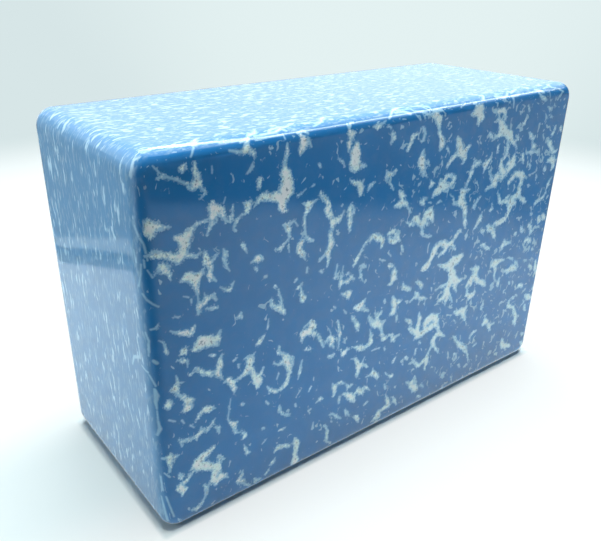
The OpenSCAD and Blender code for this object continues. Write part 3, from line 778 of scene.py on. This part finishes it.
def settledFlakes():
    (wide, tall), (right, up) = foam["flakeSpread"], foam["flakeShift"]
    return [[(x * wide + right, z * tall + up, r) for x, z, r in stroke] for stroke in mainFlakes]


def piecesOf(strokes):
    return [pair for stroke in strokes for pair in zip(stroke, stroke[1:])]


# Depth inside the nearest stroke, in mm, with the corners between joined strokes filled
def strokeField(strokes, x, z, depth):
    total = np.zeros(len(x))
    sharp, most = foam["joinSharpness"], foam["strokeReach"]
    for (ax, az, ar), (bx, bz, br) in piecesOf(strokes):
        reach = most + max(ar, br)
        near = ((x > min(ax, bx) - reach) & (x < max(ax, bx) + reach)
                & (z > min(az, bz) - reach) & (z < max(az, bz) + reach))
        px, pz = x[near] - ax, z[near] - az
        dx, dz = bx - ax, bz - az
        t = np.clip((px * dx + pz * dz) / (dx * dx + dz * dz), 0, 1)
        inside = ar + (br - ar) * t - np.hypot(px - t * dx, pz - t * dz)
        total[near] += np.exp(sharp * np.maximum(inside, -most))
    field = np.log(np.maximum(total, math.exp(-most * sharp))) / sharp
    return np.clip(field - foam["flakeDepth"] * depth, -most, most)


def blockTree():
    tree = bpy.data.node_groups.new("Rounded block", "GeometryNodeTree")
    sizes = {"Length": high.x - low.x, "Thickness": high.y - low.y, "Height": high.z - low.z,
             "Rim radius": foam["rimRadius"], "Corner radius": foam["cornerRadius"],
             "Facet": foam["facet"], "Edge facet": foam["edgeFacet"]}
    for name, value in sizes.items():
        socket = tree.interface.new_socket(name, in_out="INPUT", socket_type="NodeSocketFloat")
        socket.default_value = value
    tree.interface.new_socket("Material", in_out="INPUT", socket_type="NodeSocketMaterial")
    tree.interface.new_socket("Geometry", in_out="OUTPUT", socket_type="NodeSocketGeometry")
    entry = tree.nodes.new("NodeGroupInput")
    take = {socket.name: Wire(tree, socket) for socket in entry.outputs}
    start = Wire(tree)
    length, thickness, height = take["Length"], take["Thickness"], take["Height"]
    rim, corner = take["Rim radius"], take["Corner radius"]

    def joined(x, y, z):
        return start.node("ShaderNodeCombineXYZ", None, {0: x, 1: y, 2: z})

    # a box of fine facets, then every point goes out from the core it is nearest to
    box = start.node("GeometryNodeMeshCube", None, {
        "Size": joined(length, thickness, height),
        "Vertices X": start.math("ROUND", length / take["Facet"]) + 1,
        "Vertices Y": start.math("ROUND", thickness / take["Edge facet"]) + 1,
        "Vertices Z": start.math("ROUND", height / take["Facet"]) + 1,
    })
    place = start.node("GeometryNodeInputPosition")
    reach = joined(length / 2 - corner, thickness / 2 - rim, height / 2 - corner)
    inner = start.vector("MAXIMUM", start.vector("MINIMUM", place, reach), reach.scaled(-1.0))
    across = start.vector("MULTIPLY", start.vector("SUBTRACT", place, inner), (1, 0, 1))
    run = start.vector("LENGTH", across, out=1)
    share = start.math("MINIMUM", 1.0, (corner - rim) / start.math("MAXIMUM", run, tiny))
    core = start.vector("ADD", inner, across.scaled(share))
    outward = start.vector("NORMALIZE", start.vector("SUBTRACT", place, core))
    skin = start.vector("ADD", core, outward.scaled(rim))
    lifted = start.vector("ADD", skin, joined(0, 0, height / 2))
    moved = start.node("GeometryNodeSetPosition", None, {"Geometry": box, "Position": lifted})
    smooth = start.node("GeometryNodeSetShadeSmooth", None, {"Geometry": moved})
    real = start.node("GeometryNodeRealizeInstances", None, {"Geometry": smooth})
    done = start.node("GeometryNodeSetMaterial", None,
                      {"Geometry": real, "Material": take["Material"]})
    start.node("NodeGroupOutput", None, {"Geometry": done})
    return tree


def makeBlock(material):
    holder = addObject("blockHolder", bpy.data.meshes.new("blockHolder"))
    tree = blockTree()
    modifier = holder.modifiers.new("Rounded block", "NODES")
    modifier.node_group = tree
    inputs = [item for item in tree.interface.items_tree if item.in_out == "INPUT"]
    ids = {item.name: item.identifier for item in inputs}
    modifier[ids["Material"]] = material
    ready = holder.evaluated_get(bpy.context.evaluated_depsgraph_get())
    mesh = bpy.data.meshes.new_from_object(ready)
    bpy.data.objects.remove(holder)
    return addObject("marbled_block", mesh)


# How far a point lies past the start of the rim, in mm along the skin as it rounds away from the
# front, where back is its distance behind the front
def pastRim(out, back):
    rim = foam["rimRadius"] / mm
    turned = rim * np.arctan2(np.maximum(out, 0), np.maximum(rim - back, tiny))
    return np.where(out > 0, turned + np.maximum(back - rim, 0), out)


def markFlakes(block):
    mesh = block.data
    points = np.empty(len(mesh.vertices) * 3)
    mesh.vertices.foreach_get("co", points)
    x, y, z = points.reshape(-1, 3).T / mm
    back = y - low.y / mm
    strokes = settledFlakes()
    field = strokeField(strokes, x, z, back)
    attribute = mesh.attributes.new("flakeDepth", "FLOAT", "POINT")
    attribute.data.foreach_set("value", field.astype(np.float32))

    # Thin strokes are finer than a facet, so the corners of each facet note where they lie by the
    # nearest one: how far across it, how far along from its middle, its half width and half length
    corner = np.empty(len(mesh.loops), dtype=np.int32)
    mesh.loops.foreach_get("vertex_index", corner)
    corner = corner.reshape(-1, 4)
    top, side = (high.z - foam["rimRadius"]) / mm, (low.x + foam["rimRadius"]) / mm
    flatX, flatZ = side - pastRim(side - x, back), top + pastRim(z - top, back)
    middleX, middleY, middleZ = (line[corner].mean(axis=1) for line in (flatX, y, flatZ))
    atEdge = (middleZ > top - foam["fineTop"]) | (middleX < side)
    frontReach, edgeReach = foam["fineReach"]
    front = np.flatnonzero(middleY < low.y / mm + np.where(atEdge, edgeReach, frontReach))
    mx, mz = middleX[front], middleZ[front]
    closest = np.full(len(front), -foam["facet"] / mm)
    nothing = (9.0, 0.0, 0.0, 0.0)   # far from any stroke
    notes = np.tile(nothing, (len(front), 4, 1))
    fine = [pair for pair in piecesOf(strokes) if min(pair[0][2], pair[1][2]) <= foam["fineWidth"]]
    for (ax, az, ar), (bx, bz, br) in fine + piecesOf(edgeFlakes + sideFlakes):
        length = math.hypot(bx - ax, bz - az)
        ux, uz = (bx - ax) / length, (bz - az) / length
        run = np.clip((mx - ax) * ux + (mz - az) * uz, 0, length)
        aside = np.hypot(mx - ax - run * ux, mz - az - run * uz)
        inside = ar + (br - ar) * run / length - aside
        better = np.flatnonzero(inside > closest)
        closest[better] = inside[better]
        cx, cz = (line[corner[front[better]]] for line in (flatX, flatZ))
        along = (cx - ax) * ux + (cz - az) * uz
        notes[better, :, 0] = (cz - az) * ux - (cx - ax) * uz
        notes[better, :, 1] = along - length / 2
        notes[better, :, 2] = ar + (br - ar) * along / length
        notes[better, :, 3] = length / 2
    everywhere = np.tile(nothing, (len(corner), 4, 1))
    everywhere[front] = notes
    attribute = mesh.attributes.new("fineStroke", "FLOAT_COLOR", "CORNER")
    attribute.data.foreach_set("color", everywhere.astype(np.float32).ravel())


def foamMaterial():
    material, start = newMaterial("Marbled foam under a clear gloss")
    inMm = start.node("ShaderNodeTexCoord", None, None, "Object").scaled(1 / mm)
    layered = start.vector("MULTIPLY", inMm, (1, foam["layerFlatness"], 1))
    x, y, z = inMm.xyz()
    front, back, top = low.y / mm, high.y / mm, high.z / mm
    rightwards = x.rise(*foam["crossing"])
    nowhere = foam["nowhere"]

    def leftToRight(pair):
        left, right = pair
        return rightwards * (right - left) + left

    def noise(name, vector=inMm, out=0):
        scale, detail, roughness, offset = foam["noise"][name]
        moved = start.vector("ADD", vector, offset)
        sockets = {"Vector": moved, "Scale": scale, "Detail": detail, "Roughness": roughness}
        return start.node("ShaderNodeTexNoise", {"noise_dimensions": "3D"}, sockets, out)

    def swing(name, vector=inMm):
        return (noise(name, vector) - 0.5) * foam["swing"][name]

    def drifting(vector, name):
        drift = start.vector("SUBTRACT", noise(name, vector, 1), (0.5, 0.5, 0.5))
        return start.vector("ADD", vector, drift.scaled(foam[name]))

    def voronoi(feature, size, vector):
        settings = {"voronoi_dimensions": "3D", "feature": feature}
        sockets = {"Vector": vector, "Scale": 1 / size, "Randomness": 1.0}
        return start.node("ShaderNodeTexVoronoi", settings, sockets, "Distance")

    shallow, deep = foam["faceDepth"]
    behind = y.rise(front + shallow, front + deep)
    within = behind * (1 - y.rise(back - deep, back - shallow))
    upper = z.rise(*[top - depth for depth in foam["topDepth"]])

    # flakes drawn stroke by stroke on the front
    drawn = start.node("ShaderNodeAttribute", {"attribute_name": "flakeDepth"}, None, "Fac")
    ragged, torn = swing("ragged", layered), swing("torn", layered)
    whole = drawn + ragged + torn + leftToRight(foam["flakeGain"])
    fineStroke = start.node("ShaderNodeAttribute", {"attribute_name": "fineStroke"})
    note, halfLength = fineStroke.outputs("Color", "Alpha")
    note = start.node("ShaderNodeSeparateColor", None, {0: note})
    across, along, width = note.outputs("Red", "Green", "Blue")
    past = start.math("MAXIMUM", start.math("ABSOLUTE", along) - halfLength, 0.0)
    thin = width * foam["fineShare"] - start.math("SQRT", across * across + past * past)
    thin = thin + swing("fineEdge")
    lapped = thin - (1 - z.rise(*[top - depth for depth in foam["lap"]])) * nowhere

    # flakes squeezed between round blue granules, on the back
    drifted = drifting(layered, "grainDrift")
    level = foam["backLevel"] - swing("crowd", layered)
    squeezed = (voronoi("F1", foam["grainSize"], drifted) - level) * foam["grainSize"]
    squeezed = squeezed + (ragged + torn) * foam["backTorn"] - (1 - behind) * nowhere
    thickest = start.math("MAXIMUM", whole, squeezed) - within * nowhere
    flakes = start.math("MAXIMUM", thickest, thin)
    thickest = start.math("MAXIMUM", thickest, lapped)

    # the same flakes cut edge on, at the top, the ends and the underside
    swayed = drifting(drifting(inMm, "streakSway"), "streakRipple")
    level = foam["endLevel"] - upper * (foam["endLevel"] - foam["topLevel"])
    streaks = noise("streak", start.vector("MULTIPLY", swayed, foam["streakScale"]))
    streaks = (streaks + swing("streakCrowd") - level).rise(*foam["streakEdge"]) * within
    faint = noise("faint", start.vector("MULTIPLY", swayed, foam["faintScale"]))
    faint = (faint - level).rise(*foam["faintEdge"]) * within * foam["faintShare"]

    # small wisps and specks, more of them to the right
    web = foam["webWidth"] - voronoi("DISTANCE_TO_EDGE", foam["webSize"], drifted)
    patchy = (noise("patch", layered) - leftToRight(foam["patchLevel"])) * foam["patchSharpness"]
    wispy = web * foam["grainSize"] + start.math("MINIMUM", patchy, foam["patchMost"])
    wispy = (wispy + torn * foam["webTorn"]).rise(*foam["wispEdge"]) * foam["wispShare"]
    specks = noise("speck", start.vector("MULTIPLY", drifted, foam["speckShape"]))
    specks = specks + swing("speckCrowd", layered) + torn * foam["speckTorn"]
    specks = (specks + rightwards * foam["speckMore"]).rise(*foam["speckEdge"])
    small = start.math("MAXIMUM", wispy, specks * foam["speckShare"]) * (1 - within)

    # blue, with fine white in it
    darker, paler = 1 - foam["blueSwing"], 1 + foam["blueSwing"]
    tone = noise("tone")
    colour = tone.colours([c * darker for c in foam["blue"]], [c * paler for c in foam["blue"]])
    cloudy = noise("cloud", layered).rise(*foam["cloudEdge"])
    colour = (cloudy * leftToRight(foam["cloud"])).colours(colour, foam["cloudBlue"])
    colour = small.colours(colour, foam["wispWhite"])
    # on the top the haze grows towards the right, partly as a painted reflection
    haze = upper * (leftToRight(foam["topHazeAndReflection"]) - foam["haze"]) + foam["haze"]
    colour = (within * haze).colours(colour, foam["hazeTint"])
    colour = faint.colours(colour, upper.colours(foam["wispWhite"], foam["topWhite"]))
    colour = (streaks * foam["streakShare"]).colours(
        colour, upper.colours(foam["endWhite"], foam["topWhite"]))

    # cream at the heart of a flake, and thin enough at its torn edge for the blue to show through
    mottle = noise("mottle")
    heart = mottle.rise(*foam["mottleEdge"])
    heart = heart.colours(foam["dullWhite"], rightwards.colours(*foam["white"]))
    creamy = (thickest + (tone - 0.5) * foam["swing"]["tone"]).rise(*foam["creamEdge"])
    creamy = creamy * leftToRight(foam["creamShare"])
    heart = creamy.colours(heart, rightwards.colours(*foam["cream"]))
    pits = noise("pit", layered).rise(*foam["pitEdge"]) * foam["pitShare"]
    heart = pits.colours(heart, foam["pit"])
    thinned = flakes.rise(*foam["thinEdge"]) * foam["thinShare"]
    colour = thinned.colours(colour, foam["thinWhite"])
    inHeart = (thickest + (mottle - 0.5) * foam["swing"]["mottle"]).rise(*foam["heartEdge"])
    colour = inHeart.colours(colour, heart)

    # the clear gloss lies in slow waves
    wave, ripple, skin = (noise(name) * height for name, height in foam["relief"])
    normal = start.node("ShaderNodeBump", None, {
        "Strength": 1.0, "Distance": mm, "Height": wave + ripple + skin})
    shader = start.node("ShaderNodeBsdfPrincipled", None, {
        "Base Color": colour, "Roughness": foam["roughness"], "IOR": foam["refraction"],
        "Normal": normal})
    start.node("ShaderNodeOutputMaterial", None, {"Surface": shader})
    return material


block = makeBlock(foamMaterial())
markFlakes(block)
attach(block, "root")
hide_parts("foam_block")
print("block made,", len(block.data.polygons), "faces")

studio = {
    "floorSize": 24.0,
    "floorRoughness": 0.8,
    "floorShine": 0.1,
    "floorColour": (0.82, 0.92, 0.93),
    "bounceColour": (0.60, 0.68, 0.66),   # close before the front it throws less light back
    "bounceReach": (0.0, 0.11),
    "bounceFront": -0.06,
    "shadeColour": (0.61, 0.71, 0.715),   # the same floor as it is seen, in the block's shadow
    "shadowShare": (0.36, 0.30),      # how much of that shows, at the left and at the right
    "shadowTurn": (-0.12, 0.05),
    "contactReach": (0.0, 0.004),
    "nearPale": (0.98, 1.0, 1.0),
    "farPale": (0.68, 0.79, 0.80),
    "farBright": (0.775, 0.885, 0.885),
    "farReach": (0.38, 0.66),         # metres from the block where the white sheet ends
    "farWay": (0.71, 0.70, 0),        # the way in which the room behind is brightest
    "farSpread": (0.86, 1.0),
    "sideShadowColour": (0.74, 0.87, 0.885),  # painted shadow: the soft grey of the block's shadow on the sheet next to the near end
    "sideMiddle": 0.008,
    "sideSpread": (0.012, 0.062),
    "sideReach": (-0.36, -0.15),
    "sideFade": 0.02,
    # brightness of the floor in the block's gloss: dull where somebody stands over the sheet
    "glossTint": (0.92, 1.0, 1.0),
    "glossLevel": (0.05, 1.05),
    "glossCentre": (-0.30, -0.30, 0),
    "glossReach": (0.12, 0.50),
    "sheetEdge": (0.105, -0.385),     # a point on the front edge of the sheet, and the way it runs
    "sheetRun": (0.793, 0.61),
    "sheetSharp": (-0.015, 0.055),
    "sheetSoft": (0.03, 0.20),
    "sheetRim": 0.7,                  # share of its brightness along that edge
    "sheetRight": (0.24, 0.36),
    "sheetRightShare": 0.5,
    "beyondLevel": (0.05, 0.50),
    "beyondReach": (0.08, 0.60),
    "beyondFar": (-1.5, -0.8),
    "cardTint": (0.90, 1.0, 0.97),
    "worldLevel": 0.225,
    "worldPale": (0.92, 0.99, 1.0),
    "lampAim": (0, 0, 0.1),
    # power, size and place
    "lamps": {"softbox": (60.0, 1.0, (0.20, 0.14, 1.7)), "leftLamp": (8.0, 0.9, (-1.6, 0.7, 0.9))},
}


# Corners of a card that lies flat at a height, and of one that stands between two places
def flat(height, *places):
    return [(x, y, height) for x, y in places]


def upright(bottom, top, start, end):
    return [(*start, bottom), (*end, bottom), (*end, top), (*start, top)]


# Dull or bright cards around the block: corners in metres, shade, and whether the gloss sees them,
# the soft light, or both
cards = {
    "frontSheetEnd": (flat(0.001, (-3, -0.9), (-3, -4), (3, -4), (3, 1.84), (0.105, -0.385),
                            (-0.1, -0.33)), 0.05, "light"),
    "cameraBack": (upright(0.10, 0.36, (-0.10, -0.36), (-0.34, -0.20)), 0.02, "light"),
    "leftDark": (upright(0.0, 0.17, (-0.165, -0.075), (-0.110, -0.115)), 0.02, "light"),
    "leftBand": (flat(0.002, (-0.154, 0.297), (-0.243, 0.178), (-0.262, 0.212), (-0.2265, 0.249),
                       (-0.2075, 0.260), (-0.191, 0.279), (-0.168, 0.318)), 0.80, "gloss"),
    "leftSheetLine": (flat(0.003, (-0.149, 0.282), (-0.236, 0.168), (-0.243, 0.178),
                            (-0.154, 0.297)), 0.22, "gloss"),
    "leftBeyond": (flat(0.001, (-0.10, 0.33), (-0.236, 0.150), (-1.6, -0.30), (-3, 3), (0.4, 3)),
                   0.38, "gloss"),
    "leftWall": ([(-3.2, 0.4, 0), (-0.5, 1.9, 0), (-0.5, 1.9, 0.85), (-0.8, 1.75, 0.52),
                  (-3.2, 0.4, 0.52)], 0.55, "gloss"),
    "photographer": (upright(0.003, 1.5, (-0.01, -0.93), (-0.89, -0.27)), 0.04, "both"),
    "frontRoom": ([(-2.5, -1.3, 0), (2.0, -1.3, 0), (2.0, -1.3, 1.15), (1.3, -1.3, 1.55),
                   (1.3, -1.3, 2.0), (-2.5, -1.3, 2.0)], 0.04, "gloss"),
    "rightRoom": ([(1.6, -1.3, 0.02), (1.6, 0.45, 0.02), (1.6, 0.45, 0.72), (1.6, -1.3, 0.86)],
                  0.10, "gloss"),
    "litCeiling": (flat(1.9, (-0.2, 0.9), (3.5, 0.9), (3.5, -2.5), (1.7, -1.6), (1.0, -0.9),
                         (0.1, -0.35), (-0.2, -0.3)), 1.3, "gloss"),
    "dimCeiling": (flat(1.96, (-2.5, -3.0), (3.6, -3.0), (3.6, 0.2), (-2.5, 0.2)), 0.06, "gloss"),
    "windowBack": (flat(1.0, (0.365, 0.30), (0.40, 0.09), (0.415, -0.10), (0.43, -0.20),
                         (0.50, -0.17), (0.475, 0.0), (0.465, 0.16), (0.455, 0.34), (0.48, 0.55),
                         (0.58, 0.95), (0.74, 1.5), (0.60, 1.4), (0.43, 0.7)), 8.0, "gloss"),
    "windowCorner": (flat(1.0, (-0.12, 0.35), (-0.04, 0.16), (0.08, 0.22), (0.22, 0.42),
                           (0.355, 0.52), (0.40, 0.66), (0.50, 0.97), (0.56, 1.28), (0.34, 1.26),
                           (0.12, 1.22), (-0.06, 0.9)), 4.5, "gloss"),
    "windowFront": (flat(1.0, (0.43, -0.20), (0.50, -0.17), (0.70, -0.34), (1.42, -0.34),
                          (1.62, -0.56), (1.0, -0.56), (0.66, -0.49), (0.44, -0.27)), 8.0, "gloss"),
    "windowSide": (flat(1.0, (0.66, -0.49), (1.0, -0.56), (1.62, -0.56), (3.4, -0.9),
                         (3.6, -2.0), (1.9, -0.86), (1.5, -0.72), (0.94, -0.70), (0.72, -0.60)),
                   3.0, "gloss"),
}


# The three kinds of ray by which a thing is seen
def sights(start):
    path = start.node("ShaderNodeLightPath")
    return path.outputs("Is Camera Ray", "Is Glossy Ray", "Is Transmission Ray")


def makeFloor():
    half = studio["floorSize"] / 2
    corners = flat(0, (-half, -half), (half, -half), (half, half), (-half, half))
    mesh = bpy.data.meshes.new("floor")
    mesh.from_pydata(corners, [], [(0, 1, 2, 3)])
    floor = addObject("floor", mesh)
    material, start = newMaterial("Pale floor")
    place = start.node("ShaderNodeTexCoord", None, None, "Object")
    x, y = place.xyz()[:2]

    # what the camera sees
    away = start.vector("LENGTH", place, out=1).rise(*studio["farReach"])
    facing = start.vector("NORMALIZE", place)
    facing = start.vector("DOT_PRODUCT", facing, studio["farWay"], out=1)
    far = facing.rise(*studio["farSpread"]).colours(studio["farPale"], studio["farBright"])
    pale = away.colours(studio["nearPale"], far)
    # painted shadow: a soft grey band on the floor next to the near end, where the block's shadow
    # falls
    sideShadowMask = start.math("ABSOLUTE", y - studio["sideMiddle"]).rise(*studio["sideSpread"])
    sideShadowMask = (1 - sideShadowMask) * x.rise(*studio["sideReach"])
    sideShadowMask = sideShadowMask * (1 - x.rise(low.x, low.x + studio["sideFade"]))
    pale = sideShadowMask.colours(pale, studio["sideShadowColour"])

    # and how much it sees of the light and shadow that fall there
    leftShadow, rightShadow = studio["shadowShare"]
    shadow = leftShadow - x.rise(*studio["shadowTurn"]) * (leftShadow - rightShadow)
    outside = start.vector("SUBTRACT", start.vector("ABSOLUTE", place), (high.x, high.y, 0))
    gap = start.vector("LENGTH", start.vector("MAXIMUM", outside, (0, 0, 0)), out=1)
    contact = 1 - gap.rise(*studio["contactReach"])
    shadow = start.math("MAXIMUM", shadow * (1 - away), contact)

    # what the gloss mirrors
    dark, bright = studio["glossLevel"]
    lit = start.vector("DISTANCE", place, studio["glossCentre"], out=1)
    lit = lit.rise(*studio["glossReach"]) * (bright - dark) + dark
    lit = lit * (1 - x.rise(*studio["sheetRight"]) * (1 - studio["sheetRightShare"]))
    (edgeX, edgeY), (runX, runY) = studio["sheetEdge"], studio["sheetRun"]
    inward = (y - edgeY) * runX - (x - edgeX) * runY
    sharp, soft = inward.rise(*studio["sheetSharp"]), inward.rise(*studio["sheetSoft"])
    rim = studio["sheetRim"]
    darkBeyond, paleBeyond = studio["beyondLevel"]
    beyond = x.rise(*studio["beyondReach"]) * (paleBeyond - darkBeyond) + darkBeyond
    beyond = beyond * y.rise(*studio["beyondFar"])
    lit = lit * sharp * (soft * (1 - rim) + rim) + beyond * (1 - sharp)

    # what it throws back on the block
    before = (1 - gap.rise(*studio["bounceReach"])) * (1 - y.rise(studio["bounceFront"], low.y))
    thrown = before.colours(studio["floorColour"], studio["bounceColour"])

    own, shaded = (start.node("ShaderNodeBsdfPrincipled", None, {
        "Base Color": colour, "Roughness": studio["floorRoughness"],
        "Specular IOR Level": studio["floorShine"]}) for colour in (thrown, studio["shadeColour"]))
    seen = start.node("ShaderNodeEmission", None, {"Color": pale, "Strength": 1.0})
    mirrored = start.node("ShaderNodeEmission", None, {
        "Color": (lit / bright).colours((0, 0, 0), studio["glossTint"]), "Strength": bright})
    camera, glossy, through = sights(start)
    looked = start.math("MAXIMUM", camera, through)
    paled = start.node("ShaderNodeMixShader", None, {0: 1 - shadow, 1: shaded, 2: seen})
    shown = start.node("ShaderNodeMixShader", None, {0: looked, 1: own, 2: paled})
    both = start.node("ShaderNodeMixShader", None, {0: glossy, 1: shown, 2: mirrored})
    start.node("ShaderNodeOutputMaterial", None, {"Surface": both})
    mesh.materials.append(material)


def makeCard(name, corners, shade, seenBy):
    mesh = bpy.data.meshes.new(name)
    mesh.from_pydata(corners, [], [tuple(range(len(corners)))])
    card = addObject(name, mesh)
    material, start = newMaterial(name)
    glow = start.node("ShaderNodeEmission", None, {"Color": studio["cardTint"], "Strength": shade})
    start.node("ShaderNodeOutputMaterial", None, {"Surface": glow})
    mesh.materials.append(material)
    card.visible_glossy = seenBy in ("gloss", "both")
    card.visible_diffuse = seenBy in ("light", "both")
    card.visible_camera = False
    card.visible_shadow = False
    card.visible_transmission = False


def makeWorld():
    world = bpy.data.worlds.new("Pale room")
    scene.world = world
    world.use_nodes = True
    world.node_tree.nodes.clear()
    start = Wire(world.node_tree)
    camera, glossy, through = sights(start)
    seen = start.math("MAXIMUM", start.math("MAXIMUM", camera, glossy), through)
    level = studio["worldLevel"]
    dim, pale = (start.node("ShaderNodeBackground", None, {"Color": colour, "Strength": 1.0})
                 for colour in ((level, level, level), studio["worldPale"]))
    mixed = start.node("ShaderNodeMixShader", None, {0: seen, 1: dim, 2: pale})
    start.node("ShaderNodeOutputWorld", None, {"Surface": mixed})


def makeLamp(name, power, size, place):
    lamp = bpy.data.lights.new(name, "AREA")
    lamp.shape = "SQUARE"
    lamp.size = size
    lamp.energy = power
    holder = addObject(name, lamp)
    holder.location = place
    holder.visible_glossy = False
    aim = Vector(studio["lampAim"]) - holder.location
    holder.rotation_euler = aim.to_track_quat("-Z", "Y").to_euler()


makeFloor()
for name, card in cards.items():
    makeCard(name, *card)
makeWorld()
for name, lamp in studio["lamps"].items():
    makeLamp(name, *lamp)
print("floor, cards and light made")

camera = {
    "place": (-0.1925, -0.2232, 0.2010),
    "heading": 36.78,      # degrees from +Y towards +X
    "drop": 25.82,         # degrees below level
    "roll": 0.26,
    "focal": 663.1,        # in pixels of the frame
    "axis": (282.7, 282.5),  # where the lens looks straight ahead, in pixels
    "frame": (601, 541),
    "sensor": 36.0,
    "clip": (0.01, 50.0),
}


def makeCamera():
    wide, tall = camera["frame"]
    axisX, axisY = camera["axis"]
    data = bpy.data.cameras.new("camera")
    data.sensor_width = camera["sensor"]
    data.lens = camera["focal"] / wide * data.sensor_width
    data.shift_x = (wide / 2 - axisX) / wide
    data.shift_y = (axisY - tall / 2) / wide
    data.clip_start, data.clip_end = camera["clip"]
    holder = addObject("camera", data)
    holder.location = camera["place"]
    drop, heading, roll = (math.radians(camera[name]) for name in ("drop", "heading", "roll"))
    turn = Euler((math.pi / 2 - drop, 0, -heading)).to_matrix()
    holder.rotation_euler = (turn @ Euler((0, 0, roll)).to_matrix()).to_euler()
    scene.camera = holder


makeCamera()
scene.view_settings.view_transform = "Standard"
print("camera set")
